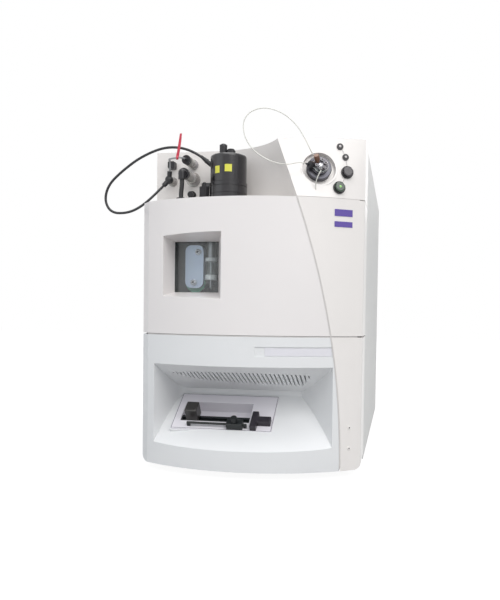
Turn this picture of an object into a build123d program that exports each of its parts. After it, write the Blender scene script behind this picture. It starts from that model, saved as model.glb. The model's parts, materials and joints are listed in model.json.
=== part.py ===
from build123d import *
import math
import os

# A benchtop tandem mass spectrometer.
# Millimetres, +Z up, the front faces -Y, origin under the middle of the instrument on the bench.

os.makedirs("parts", exist_ok=True)

# ---------------------------------------------------------------- driving sizes
body_width = 356.0
total_depth = 819.2
foot_height = 12.0
lower_height = 208.0
door_height = 211.0
crown_height = 95.0
half = body_width / 2
front_y = -total_depth / 2

wall = 3.5
sheet = 1.5
plate = 2.0
parting_gap = 2.0
touch_gap = 0.3
shaft_gap = 0.1

# The bowed front: one upright arc, with a flat band at the left corner.
bow_radius = 299.6
bow_x = -16.0
band_width = 15.0
band_depth = 18.5
front_corner_radius = 6.0
skirt_corner_radius = 10.0
return_depth = 24.0

# The sweeping seam between doors and right-hand column, an arc seen from the front.
seam_radius = 1270.0
seam_x = half - 1301.0
seam_rise = 8.0

# Where the chassis stands behind the front mouldings.
bulkhead_setback = 119.1
side_seam_setback = 147.6
rear_setback = 27.6

# Sample bay in the lower panel, heights from the skirt's lower edge.
bay_wall = 4.5
bay_lip_rise = 32.0
bay_floor_rise = 106.0
bay_ceiling_rise = 114.0
bay_mouth_rise = 161.0
bay_lip_radius = 340.0
bay_left = 47.8 - half
bay_right = half - 100.0
bay_left_flare = 0.238
bay_right_flare = 0.78
bay_left_corner_radius = 22.0
bay_right_corner_radius = 6.0

# Vent slots in the bay's ceiling.
slot_pitch = 6.5
slot_width = 2.4
slot_count = 39
vent_front_setback = 27.6
vent_centre_x = (bay_left + bay_right) / 2 + 5.6

# Name strip recess under the waist.
strip_left = half - 158.0
strip_right = half - 44.0
strip_drop = 16.0
strip_height = 15.0
strip_recess = 1.5
strip_thickness = 0.8

# Door window: a tapering well through the moulded door.
window_mouth_width = 105.5
window_mouth_height = 102.5
window_mouth_x = 91.8 - half
window_mouth_rise = 107.3
window_throat_width = 73.0
window_throat_height = 81.2
window_throat_x = 89.0 - half
window_throat_rise = 107.9
window_depth = 58.6
window_wall = 3.0

# Tower: the leaning head above the right-hand column, with the recess beside it.
tower_top_radius = 405.0
tower_top_x = 30.0
tower_lean = 45.6
cove_foot_x = 128.0 - half
cove_head_x = 108.0 - half
ledge_thickness = 2.5
ledge_inset = 22.0
ledge_gap = 1.0

# ---------------------------------------------------------------- derived places
rear_y = total_depth / 2 - rear_setback
bow_y = front_y + bow_radius
skirt_z = foot_height
waist_z = skirt_z + lower_height
shelf_z = waist_z + door_height
roof_z = shelf_z + crown_height
seam_z = skirt_z + seam_rise
bulkhead_y = front_y + bulkhead_setback
side_seam_y = front_y + side_seam_setback
recess_y = bulkhead_y - wall
bay_back_y = bulkhead_y - bay_wall
tray_z = skirt_z + wall
half_gap = parting_gap / 2


def front_at(x):
    """Y of the bowed front at a given x."""
    return bow_y - math.sqrt(bow_radius**2 - (x - bow_x) ** 2)


def seam_at(z, away=0.0):
    """X of the sweeping seam at height z, moved right by a small distance."""
    return seam_x + math.sqrt((seam_radius + away) ** 2 - (z - seam_z) ** 2)


crease_x = -half + band_width
corner_y = front_at(crease_x) + band_depth
door_back_lap = 10.56
door_back_y = corner_y + door_back_lap


def front_outline(back_y, inset=0.0):
    """Plan outline behind the bowed front, every front and side wall moved in by inset."""
    band = Vector(band_width, -band_depth).normalized()
    inward = Vector(-band.Y, band.X)
    foot = Vector(-half, corner_y) + inward * inset
    reach = 3 * band_depth
    with BuildSketch(mode=Mode.PRIVATE) as outline:
        with Locations((0, (front_y + back_y) / 2)):
            Rectangle(body_width - 2 * inset, back_y - front_y)
        with Locations((bow_x, bow_y)):
            Circle(bow_radius - inset, mode=Mode.INTERSECT)
        with BuildLine():
            Polyline(
                foot - band * reach,
                foot + band * reach,
                foot + (band - inward) * reach,
                foot - (band + inward) * reach,
                close=True,
            )
        make_face(mode=Mode.SUBTRACT)
        if inset < front_corner_radius:
            corner = outline.vertices().group_by(Axis.X)[-1].sort_by(Axis.Y)[0]
            fillet(corner, radius=front_corner_radius - inset)
    return outline.sketch


def front_block(low, high, back_y, inset=0.0, seam=0.0, side=-1):
    """Solid between two heights behind the bowed front, on one side of the sweeping seam.

    seam is the distance kept from the seam, and side is -1 for the doors, 1 for the column.
    """
    outline = front_outline(back_y, inset)
    with BuildPart(mode=Mode.PRIVATE) as block:
        with BuildSketch(Plane.XY.offset(low)):
            add(outline)
        extrude(amount=high - low)
        with BuildSketch(Plane.XZ):
            if side > 0:
                with Locations((half, waist_z)):
                    Rectangle(2 * half, 4 * waist_z)
            with Locations((seam_x, seam_z)):
                Circle(seam_radius + side * seam, mode=Mode.ADD if side < 0 else Mode.SUBTRACT)
        extrude(amount=total_depth, both=True, mode=Mode.INTERSECT)
    return block.part


def skirt_corner(side, radius, inset=0.0):
    """What a rounded lower corner takes away, seen from the front."""
    x = side * (half - inset)
    z = skirt_z + inset
    with BuildPart(mode=Mode.PRIVATE) as corner:
        with BuildSketch(Plane.XZ):
            with Locations((x - side * (radius - 1) / 2, z + (radius - 1) / 2)):
                Rectangle(radius + 1, radius + 1)
            with Locations((x - side * radius, z + radius)):
                Circle(radius, mode=Mode.SUBTRACT)
        extrude(amount=total_depth, both=True)
    return corner.part


def moulded_shell(low, high, back_y, side):
    """A front moulding: a bowed skin with returns along its edges, open at the back."""
    with BuildPart(mode=Mode.PRIVATE) as shell:
        add(front_block(low, high, back_y, 0, half_gap, side))
        add(
            front_block(low + wall, high - wall, back_y + 1, wall, half_gap + wall, side),
            mode=Mode.SUBTRACT,
        )
        add(front_block(low - 1, high + 1, back_y + 1, return_depth, 0, side), mode=Mode.SUBTRACT)
    return shell.part


def arc_strip(left, right, low, high, outer, inner):
    """A thin strip that follows the bow, between two depths behind the front surface."""
    with BuildPart(mode=Mode.PRIVATE) as strip:
        with BuildSketch(Plane.XY.offset(low)):
            with Locations(((left + right) / 2, front_y + return_depth)):
                Rectangle(right - left, 6 * return_depth)
            with Locations((bow_x, bow_y)):
                Circle(bow_radius - outer, mode=Mode.INTERSECT)
                Circle(bow_radius - inner, mode=Mode.SUBTRACT)
        extrude(amount=high - low)
    return strip.part


# ---------------------------------------------------------------- chassis
foot_radius = 16.0
foot_side = half - 42.0
foot_chamfer = 2.0
foot_front_setback = 140.0
foot_rear_setback = 52.0
foot_places = [
    (x, y)
    for x in (-foot_side, foot_side)
    for y in (front_y + foot_front_setback, rear_y - foot_rear_setback)
]

with BuildPart() as rubber_feet:
    with BuildSketch():
        with Locations(*foot_places):
            Circle(foot_radius)
    extrude(amount=tray_z)
    chamfer(rubber_feet.edges().group_by(Axis.Z)[0], length=foot_chamfer)
rubber_feet.part.label = "rubber_feet"
export_step(rubber_feet.part, "parts/rubber_feet.step")

tray_flange = 18.0
tray_lead = 10.0
tray_front_y = bulkhead_y - tray_lead
inner_half = half - wall
panel_half = half - sheet
rear_inner_y = rear_y - sheet

with BuildPart() as base_tray:
    with BuildSketch(Plane.XY.offset(tray_z)):
        with Locations((0, (tray_front_y + rear_inner_y) / 2)):
            Rectangle(2 * inner_half, rear_inner_y - tray_front_y)
    extrude(amount=plate)
    for side, start in ((-1, tray_front_y), (1, side_seam_y)):
        with BuildSketch(Plane.XY.offset(tray_z)):
            with Locations((side * (inner_half + panel_half) / 2, (start + rear_inner_y) / 2)):
                Rectangle(panel_half - inner_half, rear_inner_y - start)
        extrude(amount=tray_flange)

bulkhead_top_drop = 7.0
connector_x = 65.0 - half
connector_upper_rise = 73.0
connector_lower_rise = 48.0
corner_connector_x = 29.0 - half
corner_connector_rise = 45.0
gas_port_x = 63.0 - half
gas_port_rise = 22.0
shank_radius = 5.0
panel_ports = [
    (connector_x, shelf_z + connector_upper_rise),
    (connector_x, shelf_z + connector_lower_rise),
    (corner_connector_x, shelf_z + corner_connector_rise),
]
tray_top = tray_z + plate
bulkhead_top = roof_z - bulkhead_top_drop

with BuildPart() as front_bulkhead:
    with BuildSketch(Plane.XZ.offset(-bulkhead_y)):
        with Locations((0, (tray_top + bulkhead_top) / 2)):
            Rectangle(2 * inner_half, bulkhead_top - tray_top)
        with Locations(*panel_ports):
            Circle(shank_radius, mode=Mode.SUBTRACT)
    extrude(amount=-plate)

with BuildPart() as chassis:
    add(base_tray.part)
    add(front_bulkhead.part)
chassis.part.label = "chassis"
export_step(chassis.part, "parts/chassis.step")

cover_fold = 12.0
cover_corner = 4.0
door_side_gap = 3.0
fold_z = roof_z - cover_fold
side_front_y = door_back_y + door_side_gap

with BuildPart() as left_side_panel:
    with BuildSketch(Plane.YZ.offset(-half)):
        with BuildLine():
            Polyline(
                (side_front_y, skirt_z),
                (rear_y, skirt_z),
                (rear_y, fold_z),
                (side_seam_y, fold_z),
                (side_seam_y, shelf_z),
                (side_front_y, shelf_z),
                close=True,
            )
        make_face()
    extrude(amount=sheet)

with BuildPart() as right_side_panel:
    with BuildSketch(Plane.YZ.offset(panel_half)):
        with Locations(((side_seam_y + rear_y) / 2, (skirt_z + fold_z) / 2)):
            Rectangle(rear_y - side_seam_y, fold_z - skirt_z)
    extrude(amount=sheet)

with BuildPart() as side_panels:
    add(left_side_panel.part)
    add(right_side_panel.part)
side_panels.part.label = "side_panels"
export_step(side_panels.part, "parts/side_panels.step")

with BuildPart() as top_cover:
    with BuildSketch(Plane.XZ.offset(-side_seam_y)) as cover_profile:
        with Locations((0, (roof_z + fold_z) / 2)):
            Rectangle(body_width, cover_fold)
        fillet(cover_profile.vertices().group_by(Axis.Y)[-1], radius=cover_corner)
        offset(amount=-sheet, mode=Mode.SUBTRACT)
        with Locations((0, fold_z)):
            Rectangle(2 * panel_half, 2 * sheet, mode=Mode.SUBTRACT)
    extrude(amount=-(rear_y - side_seam_y))
top_cover.part.label = "top_cover"
export_step(top_cover.part, "parts/top_cover.step")

vent_louvre_count = 14
vent_louvre_pitch = 8.0
vent_louvre_width = 3.0
vent_louvre_length = 90.0
rear_vent_x = 83.0 - half
rear_vent_rise = 380.0
fan_x = half - 98.0
fan_rise = 330.0
fan_bore_radius = 56.0
inlet_x = half - 68.0
inlet_rise = 60.0
inlet_width = 48.0
inlet_height = 28.0
port_x = 83.0 - half
port_rise = 110.0
port_neck_radius = 14.0

with BuildPart() as rear_panel:
    with BuildSketch(Plane.XZ.offset(-rear_inner_y)) as rear_outline:
        with Locations((0, (tray_z + roof_z - sheet) / 2)):
            Rectangle(2 * panel_half, roof_z - sheet - tray_z)
        fillet(rear_outline.vertices().group_by(Axis.Y)[-1], radius=cover_corner)
        with Locations((fan_x, skirt_z + fan_rise)):
            Circle(fan_bore_radius, mode=Mode.SUBTRACT)
        with Locations((inlet_x, skirt_z + inlet_rise)):
            Rectangle(inlet_width, inlet_height, mode=Mode.SUBTRACT)
        with Locations((port_x, skirt_z + port_rise)):
            Circle(port_neck_radius, mode=Mode.SUBTRACT)
        with Locations((rear_vent_x, skirt_z + rear_vent_rise)):
            with GridLocations(0, vent_louvre_pitch, 1, vent_louvre_count):
                SlotOverall(vent_louvre_length, vent_louvre_width, mode=Mode.SUBTRACT)
    extrude(amount=-sheet)
rear_panel.part.label = "rear_panel"
export_step(rear_panel.part, "parts/rear_panel.step")

# ---------------------------------------------------------------- tower moulding
tower_top_y = front_y + tower_lean + tower_top_radius


def tower_front_at(x):
    """Y of the tower's top front edge at x."""
    return tower_top_y - math.sqrt(tower_top_radius**2 - (x - tower_top_x) ** 2)


def tower_outline(level, back_y):
    """Plan of the tower moulding at its foot (level 0) or its roof (level 1)."""
    height = shelf_z + ledge_gap if level == 0 else roof_z
    face_at = front_at if level == 0 else tower_front_at
    cove_x = cove_foot_x if level == 0 else cove_head_x
    edge_x = seam_at(height, half_gap)
    with BuildSketch(mode=Mode.PRIVATE) as outline:
        with BuildLine():
            edge = (edge_x, face_at(edge_x))
            corner = (half, face_at(half))
            middle_x = (edge_x + half) / 2
            Line((-half, recess_y), (cove_x, recess_y))
            TangentArc((cove_x, recess_y), edge, tangent=(1, 0))
            ThreePointArc(edge, (middle_x, face_at(middle_x)), corner)
            Polyline(corner, (half, back_y), (-half, back_y), (-half, recess_y))
        make_face()
    return outline.sketch


def tower_block(inset, back_y):
    """The tower's outer form, or with an inset the hollow behind its skin."""
    foot = tower_outline(0, back_y)
    head = tower_outline(1, back_y)
    if inset > 0:
        foot = offset(foot, amount=-inset, kind=Kind.INTERSECTION)
        head = offset(head, amount=-inset, kind=Kind.INTERSECTION)
    with BuildPart(mode=Mode.PRIVATE) as block:
        with BuildSketch(Plane.XY.offset(shelf_z + ledge_gap)):
            add(foot)
        with BuildSketch(Plane.XY.offset(roof_z)):
            add(head)
        loft(ruled=True)
    return block.part


valve_x = half - 69.0
valve_rise = 46.0
valve_cup_radius = 25.0
valve_cup_depth = 7.0
valve_cup_taper = 8.0
valve_radius = 19.0

tower_outer = tower_block(0, side_seam_y)
with BuildPart(mode=Mode.PRIVATE) as tower_hollow:
    add(tower_block(wall, side_seam_y + 2 * wall))
    split(bisect_by=Plane.XY.offset(roof_z - wall), keep=Keep.BOTTOM)


def on_tower(x, z):
    """Plane on the tower's leaning face at x and height z, its normal pointing out."""
    hits = tower_outer.find_intersection_points(Axis((x, 2 * front_y, z), (0, 1, 0)))
    point, normal = min(hits, key=lambda hit: hit[0].Y)
    if normal.Y > 0:
        normal = -normal
    return Plane(origin=point, x_dir=Vector(0, 0, 1).cross(normal), z_dir=normal)


valve_plane = on_tower(valve_x, shelf_z + valve_rise)
tower_base_z = shelf_z + ledge_gap
neck_radius = 33.0
probe_x = 135.0 - half
probe_setback = 79.6
probe_y = front_y + probe_setback
recess_left = -panel_half
enclosure_left = 36.0 - half
enclosure_right = 170.0 - half

with BuildPart(mode=Mode.PRIVATE) as ledge:
    with BuildSketch(Plane.XY.offset(tower_base_z)):
        add(front_outline(recess_y + wall, ledge_inset))
        with Locations(((recess_left + cove_foot_x) / 2, (side_front_y + recess_y + wall) / 2)):
            Rectangle(cove_foot_x - recess_left, recess_y + wall - side_front_y)
        with Locations((half, recess_y)):
            Rectangle(2 * (half - seam_at(shelf_z, wall)), 2 * total_depth, mode=Mode.SUBTRACT)
        with Locations((probe_x, probe_y)):
            Circle(neck_radius, mode=Mode.SUBTRACT)
    extrude(amount=ledge_thickness)

with BuildPart() as tower_moulding:
    add(tower_outer)
    add(tower_hollow.part, mode=Mode.SUBTRACT)
    add(ledge.part)
    with BuildSketch(valve_plane):
        Circle(valve_cup_radius + wall)
    extrude(amount=-valve_cup_depth - wall)
    with BuildSketch(valve_plane.offset(-valve_cup_depth)):
        Circle(valve_cup_radius)
    extrude(amount=3 * valve_cup_depth, taper=-valve_cup_taper, mode=Mode.SUBTRACT)
    for x, z in panel_ports:
        with BuildSketch(Plane.XZ.offset(-recess_y)):
            with Locations((x, z)):
                Circle(shank_radius)
        extrude(amount=-wall, mode=Mode.SUBTRACT)
tower_moulding.part.label = "tower_moulding"
export_step(tower_moulding.part, "parts/tower_moulding.step")

# ---------------------------------------------------------------- right-hand column
with BuildPart() as right_column_upper:
    add(moulded_shell(waist_z + half_gap, shelf_z, side_seam_y, 1))

with BuildPart(mode=Mode.PRIVATE) as column_hollow:
    add(
        front_block(
            skirt_z + wall, waist_z - half_gap - wall, side_seam_y + 1, wall, half_gap + wall, 1
        )
    )
    add(skirt_corner(1, skirt_corner_radius - wall, wall), mode=Mode.SUBTRACT)

with BuildPart() as right_column_lower:
    add(front_block(skirt_z, waist_z - half_gap, side_seam_y, 0, half_gap, 1))
    add(skirt_corner(1, skirt_corner_radius), mode=Mode.SUBTRACT)
    add(column_hollow.part, mode=Mode.SUBTRACT)
    add(
        front_block(skirt_z - 1, waist_z, side_seam_y + 1, return_depth, 0, 1),
        mode=Mode.SUBTRACT,
    )

with BuildPart() as right_column:
    add(right_column_upper.part)
    add(right_column_lower.part)
    with BuildSketch(Plane.XY.offset(skirt_z - 1)):
        with Locations((inner_half / 2, (tray_front_y - touch_gap + side_seam_y + 1) / 2)):
            Rectangle(inner_half, side_seam_y + 1 - tray_front_y + touch_gap)
    extrude(amount=roof_z, mode=Mode.SUBTRACT)
right_column.part.label = "right_column"
export_step(right_column.part, "parts/right_column.step")

badge_left = half - 44.0
badge_width = 26.0
badge_heights = ((168.0, 8.5), (184.5, 10.5))
badge_thickness = 0.6

with BuildPart() as badge_plates:
    for rise, height in badge_heights:
        add(
            arc_strip(
                badge_left,
                badge_left + badge_width,
                waist_z + rise,
                waist_z + rise + height,
                -badge_thickness,
                0,
            )
        )

# ---------------------------------------------------------------- upper door
hinge_x = 8.0 - half
hinge_lap = 2.56
pin_radius = 2.0
boss_radius = 5.0
boss_height = 6.0
arm_radius = 4.0
arm_height = 8.0
arm_lean = 2.0
bracket_near_x = 20.0 - half
bracket_far_x = 28.0 - half
hinge_y = corner_y + hinge_lap
door_low = waist_z + half_gap
door_high = shelf_z


def window_well(grow):
    """Tapering well of the door window, every side moved out by grow."""
    with BuildPart(mode=Mode.PRIVATE) as well:
        with BuildSketch(Plane.XZ.offset(-front_y)):
            with Locations((window_mouth_x, waist_z + window_mouth_rise)):
                Rectangle(window_mouth_width + 2 * grow, window_mouth_height + 2 * grow)
        with BuildSketch(Plane.XZ.offset(-front_y - window_depth)):
            with Locations((window_throat_x, waist_z + window_throat_rise)):
                Rectangle(window_throat_width + 2 * grow, window_throat_height + 2 * grow)
        loft(ruled=True)
    return well.part


with BuildPart(mode=Mode.PRIVATE) as well_wall:
    add(window_well(window_wall))
    add(front_block(door_low, door_high, door_back_y, 0, half_gap, -1), mode=Mode.INTERSECT)

with BuildPart() as upper_door:
    add(moulded_shell(door_low, door_high, door_back_y, -1))
    add(well_wall.part)
    add(window_well(0), mode=Mode.SUBTRACT)
    for low in (door_low + wall, door_high - wall - boss_height):
        with BuildSketch(Plane.XY.offset(low)):
            with Locations((hinge_x, hinge_y)):
                Circle(boss_radius)
        extrude(amount=boss_height)
    with BuildSketch(Plane.XY.offset(door_low)):
        with Locations((hinge_x, hinge_y)):
            Circle(pin_radius + shaft_gap)
    extrude(amount=door_height, mode=Mode.SUBTRACT)
upper_door.part.label = "upper_door"
export_step(upper_door.part, "parts/upper_door.step")

arm_inset = wall + boss_height + 2 * touch_gap
arm_lows = (door_low + arm_inset, door_high - arm_inset - arm_height)
arm_root_y = hinge_y - arm_radius

with BuildPart() as hinge_brackets:
    for low in arm_lows:
        with BuildSketch(Plane.XY.offset(low)):
            with Locations((hinge_x, hinge_y)):
                Circle(arm_radius)
            with Locations(((hinge_x + bracket_far_x) / 2, hinge_y + (arm_lean - arm_radius) / 2)):
                Rectangle(bracket_far_x - hinge_x, arm_radius + arm_lean)
            with Locations(((bracket_near_x + bracket_far_x) / 2, (arm_root_y + bulkhead_y) / 2)):
                Rectangle(bracket_far_x - bracket_near_x, bulkhead_y - arm_root_y)
            with Locations((hinge_x, hinge_y)):
                Circle(pin_radius, mode=Mode.SUBTRACT)
        extrude(amount=arm_height)

with BuildPart() as hinge_pins:
    for low, high in ((door_low, arm_lows[0] + arm_height), (arm_lows[1], door_high - touch_gap)):
        with BuildSketch(Plane.XY.offset(low)):
            with Locations((hinge_x, hinge_y)):
                Circle(pin_radius)
        extrude(amount=high - low)

with BuildPart() as hinge_set:
    add(hinge_brackets.part)
    add(hinge_pins.part)
hinge_set.part.label = "hinge_set"
export_step(hinge_set.part, "parts/hinge_set.step")

catch_x = half - 118.0
catch_rise = 110.0
catch_radius = 6.0
strike_radius = 8.0
strike_thickness = 1.5
magnet_length = 5.0
catch_z = waist_z + catch_rise
strike_back_y = front_at(catch_x) + wall + 3 * strike_thickness

with BuildPart() as door_strike:
    with BuildSketch(Plane.XZ.offset(-strike_back_y)):
        with Locations((catch_x, catch_z)):
            Circle(strike_radius)
    extrude(amount=4 * strike_thickness)
    add(
        front_block(door_low, door_high, door_back_y, wall, half_gap, -1),
        mode=Mode.INTERSECT,
    )
door_strike.part.label = "door_strike"
export_step(door_strike.part, "parts/door_strike.step")

magnet_y = strike_back_y + touch_gap

with BuildPart() as catch_magnet:
    with BuildSketch(Plane.XZ.offset(-magnet_y)):
        with Locations((catch_x, catch_z)):
            Circle(catch_radius)
    extrude(amount=-magnet_length)

with BuildPart() as catch_post:
    with BuildSketch(Plane.XZ.offset(-bulkhead_y)):
        with Locations((catch_x, catch_z)):
            Circle(catch_radius)
    extrude(amount=bulkhead_y - magnet_y - magnet_length)

with BuildPart() as door_catch:
    add(catch_magnet.part)
    add(catch_post.part)
door_catch.part.label = "door_catch"
export_step(door_catch.part, "parts/door_catch.step")

# ---------------------------------------------------------------- lower panel with its sample bay
bay_lip_z = skirt_z + bay_lip_rise
bay_floor_z = skirt_z + bay_floor_rise
bay_ceiling_z = skirt_z + bay_ceiling_rise
bay_mouth_z = skirt_z + bay_mouth_rise


def bay_plan(grow):
    """Plan of the bay: side walls that close in towards the back, rounded rear corners."""
    reach = 5 * return_depth
    with BuildSketch(mode=Mode.PRIVATE) as plan:
        with BuildLine():
            Polyline(
                (bay_left - bay_left_flare * reach, bay_back_y - reach),
                (bay_left, bay_back_y),
                (bay_right, bay_back_y),
                (bay_right + bay_right_flare * reach, bay_back_y - reach),
                close=True,
            )
        make_face()
        rear = plan.vertices().group_by(Axis.Y)[-1].sort_by(Axis.X)
        fillet(rear[0], radius=bay_left_corner_radius)
        fillet(rear[-1], radius=bay_right_corner_radius)
        if grow > 0:
            offset(amount=grow, kind=Kind.ARC)
    return plan.sketch


def in_front_of(radius, back_y):
    """Plan region in front of a bowed line through the foremost point, or of a straight line."""
    near_y = front_y - return_depth
    with BuildSketch(mode=Mode.PRIVATE) as region:
        with BuildLine():
            if radius > 0:
                left_y, right_y = [
                    front_y + radius - math.sqrt(radius**2 - (x - bow_x) ** 2) for x in (-half, half)
                ]
                ThreePointArc((-half, left_y), (bow_x, front_y), (half, right_y))
            else:
                left_y = right_y = back_y
                Line((-half, back_y), (half, back_y))
            Polyline((half, right_y), (half, near_y), (-half, near_y), (-half, left_y))
        make_face()
    return region.sketch


def bay_volume(grow):
    """The bay's wedge-shaped space: sloping ceiling, short back, sloping floor."""
    back_y = bay_back_y + grow
    levels = [
        (bay_lip_z - grow, bay_lip_radius),
        (bay_floor_z - grow, 0),
        (bay_ceiling_z + grow, 0),
        (bay_mouth_z + grow, bow_radius),
    ]
    plan = bay_plan(grow)
    with BuildPart(mode=Mode.PRIVATE) as volume:
        for (low, low_radius), (high, high_radius) in zip(levels, levels[1:]):
            with BuildPart(mode=Mode.PRIVATE) as slab:
                with BuildSketch(Plane.XY.offset(low)):
                    add(in_front_of(low_radius, back_y))
                with BuildSketch(Plane.XY.offset(high)):
                    add(in_front_of(high_radius, back_y))
                loft(ruled=True)
                with BuildSketch(Plane.XY.offset(low)):
                    add(plan)
                extrude(amount=high - low, mode=Mode.INTERSECT)
            add(slab.part)
    return volume.part


bay_space = bay_volume(0)

with BuildPart(mode=Mode.PRIVATE) as bay_walls:
    add(bay_volume(bay_wall))
    add(front_block(skirt_z, waist_z - half_gap, 0, 0, half_gap, -1), mode=Mode.INTERSECT)

with BuildPart(mode=Mode.PRIVATE) as panel_hollow:
    add(
        front_block(
            skirt_z + wall, waist_z - half_gap - wall, door_back_y + 1, wall, half_gap + wall, -1
        )
    )
    add(skirt_corner(-1, skirt_corner_radius - wall, wall), mode=Mode.SUBTRACT)

vent_rear_points = [
    (bay_left - 16.8, 47.4),
    (bay_left + 42.2, 72.2),
    (bay_right + 5.0, 88.9),
    (bay_right + 28.0, 44.0),
]

with BuildPart(mode=Mode.PRIVATE) as vent_slots:
    with BuildSketch(Plane.XY.offset(bay_ceiling_z)):
        with BuildLine():
            Polyline(
                *[(x, front_y + setback) for x, setback in vent_rear_points],
                (vent_rear_points[-1][0], front_y),
                (vent_rear_points[0][0], front_y),
                close=True,
            )
        make_face()
        with Locations((bow_x, bow_y)):
            Circle(bow_radius - vent_front_setback, mode=Mode.INTERSECT)
        with BuildSketch(mode=Mode.INTERSECT):
            with Locations((vent_centre_x, bay_back_y)):
                with GridLocations(slot_pitch, 0, slot_count, 1):
                    Rectangle(slot_width, 2 * total_depth)
    extrude(amount=bay_mouth_z - bay_ceiling_z + 2 * bay_wall)

plate_left = bay_left + 5.2
plate_right = bay_right - 37.5
plate_setback = 74.6
plate_rise = 81.0
plate_slope = 34.5
plate_length = 84.0
plate_thickness = 2.5
plate_corner_radius = 3.0
seat_margin = 2.0
seat_depth = 9.0
well_left = plate_left + 12.0
well_right = plate_right - 39.5
well_length = 45.0
well_offset = -1.0
trough_depth = 20.0
trough_wall = 2.0
plate_plane = Plane(
    origin=((plate_left + plate_right) / 2, front_y + plate_setback, skirt_z + plate_rise),
    x_dir=(1, 0, 0),
    z_dir=(0, -math.sin(math.radians(plate_slope)), math.cos(math.radians(plate_slope))),
)
plate_width = plate_right - plate_left
plate_normal = Axis(plate_plane.origin, plate_plane.z_dir)
well_x = (well_left + well_right) / 2 - plate_plane.origin.X
well_width = well_right - well_left

with BuildPart() as lower_panel:
    add(front_block(skirt_z, waist_z - half_gap, door_back_y, 0, half_gap, -1))
    add(skirt_corner(-1, skirt_corner_radius), mode=Mode.SUBTRACT)
    add(panel_hollow.part, mode=Mode.SUBTRACT)
    add(
        front_block(skirt_z - 1, waist_z, door_back_y + 1, return_depth, 0, -1),
        mode=Mode.SUBTRACT,
    )
    add(bay_walls.part)
    add(bay_space, mode=Mode.SUBTRACT)
    add(vent_slots.part, mode=Mode.SUBTRACT)
    with BuildSketch(plate_plane.offset(-plate_thickness)):
        RectangleRounded(
            plate_width + 2 * seat_margin, plate_length + 2 * seat_margin, plate_corner_radius
        )
    extrude(amount=-seat_depth)
    with BuildSketch(plate_plane.offset(-plate_thickness)):
        RectangleRounded(plate_width, plate_length, plate_corner_radius)
    extrude(amount=2 * seat_depth, mode=Mode.SUBTRACT)
    with BuildSketch(plate_plane):
        with Locations((well_x, well_offset)):
            Rectangle(well_width + 2 * trough_wall, well_length + 2 * trough_wall)
    extrude(amount=seat_depth * 2, both=True, mode=Mode.SUBTRACT)
    add(
        arc_strip(
            strip_left,
            strip_right,
            waist_z - strip_drop - strip_height,
            waist_z - strip_drop,
            -strip_recess,
            strip_recess,
        ),
        mode=Mode.SUBTRACT,
    )
lower_panel.part.label = "lower_panel"
export_step(lower_panel.part, "parts/lower_panel.step")

with BuildPart() as name_strip:
    add(
        arc_strip(
            strip_left + strip_height,
            strip_right - strip_recess,
            waist_z - strip_drop - strip_height + strip_recess,
            waist_z - strip_drop - strip_recess,
            strip_recess - strip_thickness,
            strip_recess,
        )
    )

with BuildPart() as label_plates:
    add(badge_plates.part)
    add(name_strip.part)
label_plates.part.label = "label_plates"
export_step(label_plates.part, "parts/label_plates.step")

# ---------------------------------------------------------------- syringe pump in the bay floor
rail_width = 14.0
rail_height = 10.0
rail_inset = 0.3
pusher_length = 20.0
pusher_inset = 10.0
pusher_depth = 22.0
pusher_height = 24.0
pusher_corner = 1.5
pusher_chamfer = 1.5
rod_radius = 2.0
rod_left = plate_left + 27.0
rod_right = well_right - 1.0
rod_drop = 34.5
rod_rise = 6.0
collar_left = rod_right - 32.0
collar_right = rod_right - 6.0
collar_radius = 7.0
thumb_radius = 5.0
thumb_length = 9.0
thumb_groove = 0.55
thumb_groove_count = 12

with BuildPart() as pump_plate:
    with BuildSketch(plate_plane.offset(-plate_thickness)):
        RectangleRounded(plate_width, plate_length, plate_corner_radius)
        with Locations((well_x, well_offset)):
            Rectangle(well_width, well_length, mode=Mode.SUBTRACT)
    extrude(amount=plate_thickness)

with BuildPart() as pump_trough:
    with BuildSketch(plate_plane.offset(-plate_thickness)):
        with Locations((well_x, well_offset)):
            Rectangle(well_width + 2 * trough_wall, well_length + 2 * trough_wall)
    extrude(amount=-trough_depth)
    with BuildSketch(plate_plane.offset(-plate_thickness)):
        with Locations((well_x, well_offset)):
            Rectangle(well_width, well_length)
    extrude(amount=-trough_depth + trough_wall, mode=Mode.SUBTRACT)

with BuildPart() as pump_bed:
    add(pump_plate.part)
    add(pump_trough.part)
pump_bed.part.label = "pump_bed"
export_step(pump_bed.part, "parts/pump_bed.step")

trough_floor = plate_plane.offset(-plate_thickness - trough_depth + trough_wall)
rail_y = well_offset - well_length / 2 + rail_inset + rail_width / 2

with BuildPart() as guide_rail:
    with BuildSketch(trough_floor):
        with Locations((well_x, rail_y)):
            Rectangle(well_width, rail_width)
    extrude(amount=trough_depth - trough_wall)
    with BuildSketch(trough_floor.offset(trough_depth - trough_wall)):
        with Locations((well_x, rail_y)):
            Rectangle(well_width, rail_width / 3)
    extrude(amount=-rail_width / 4, mode=Mode.SUBTRACT)

pusher_x = well_left + pusher_length / 2 + pusher_inset - plate_plane.origin.X
pusher_base = plate_plane.offset(-plate_thickness + touch_gap)

with BuildPart() as pusher_block:
    with BuildSketch(pusher_base):
        with Locations((pusher_x, rail_y + (pusher_depth - rail_width) / 2)):
            RectangleRounded(pusher_length, pusher_depth, pusher_corner)
    extrude(amount=pusher_height)
    chamfer(pusher_block.faces().sort_by(plate_normal)[-1].edges(), length=pusher_chamfer)
    with BuildSketch(pusher_base):
        with Locations((pusher_x, rail_y)):
            Rectangle(pusher_length / 2, rail_width / 3 - 2 * touch_gap)
    extrude(amount=-rail_width / 4 + touch_gap)

clip_width = 5.0
clip_height = 12.0

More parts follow.
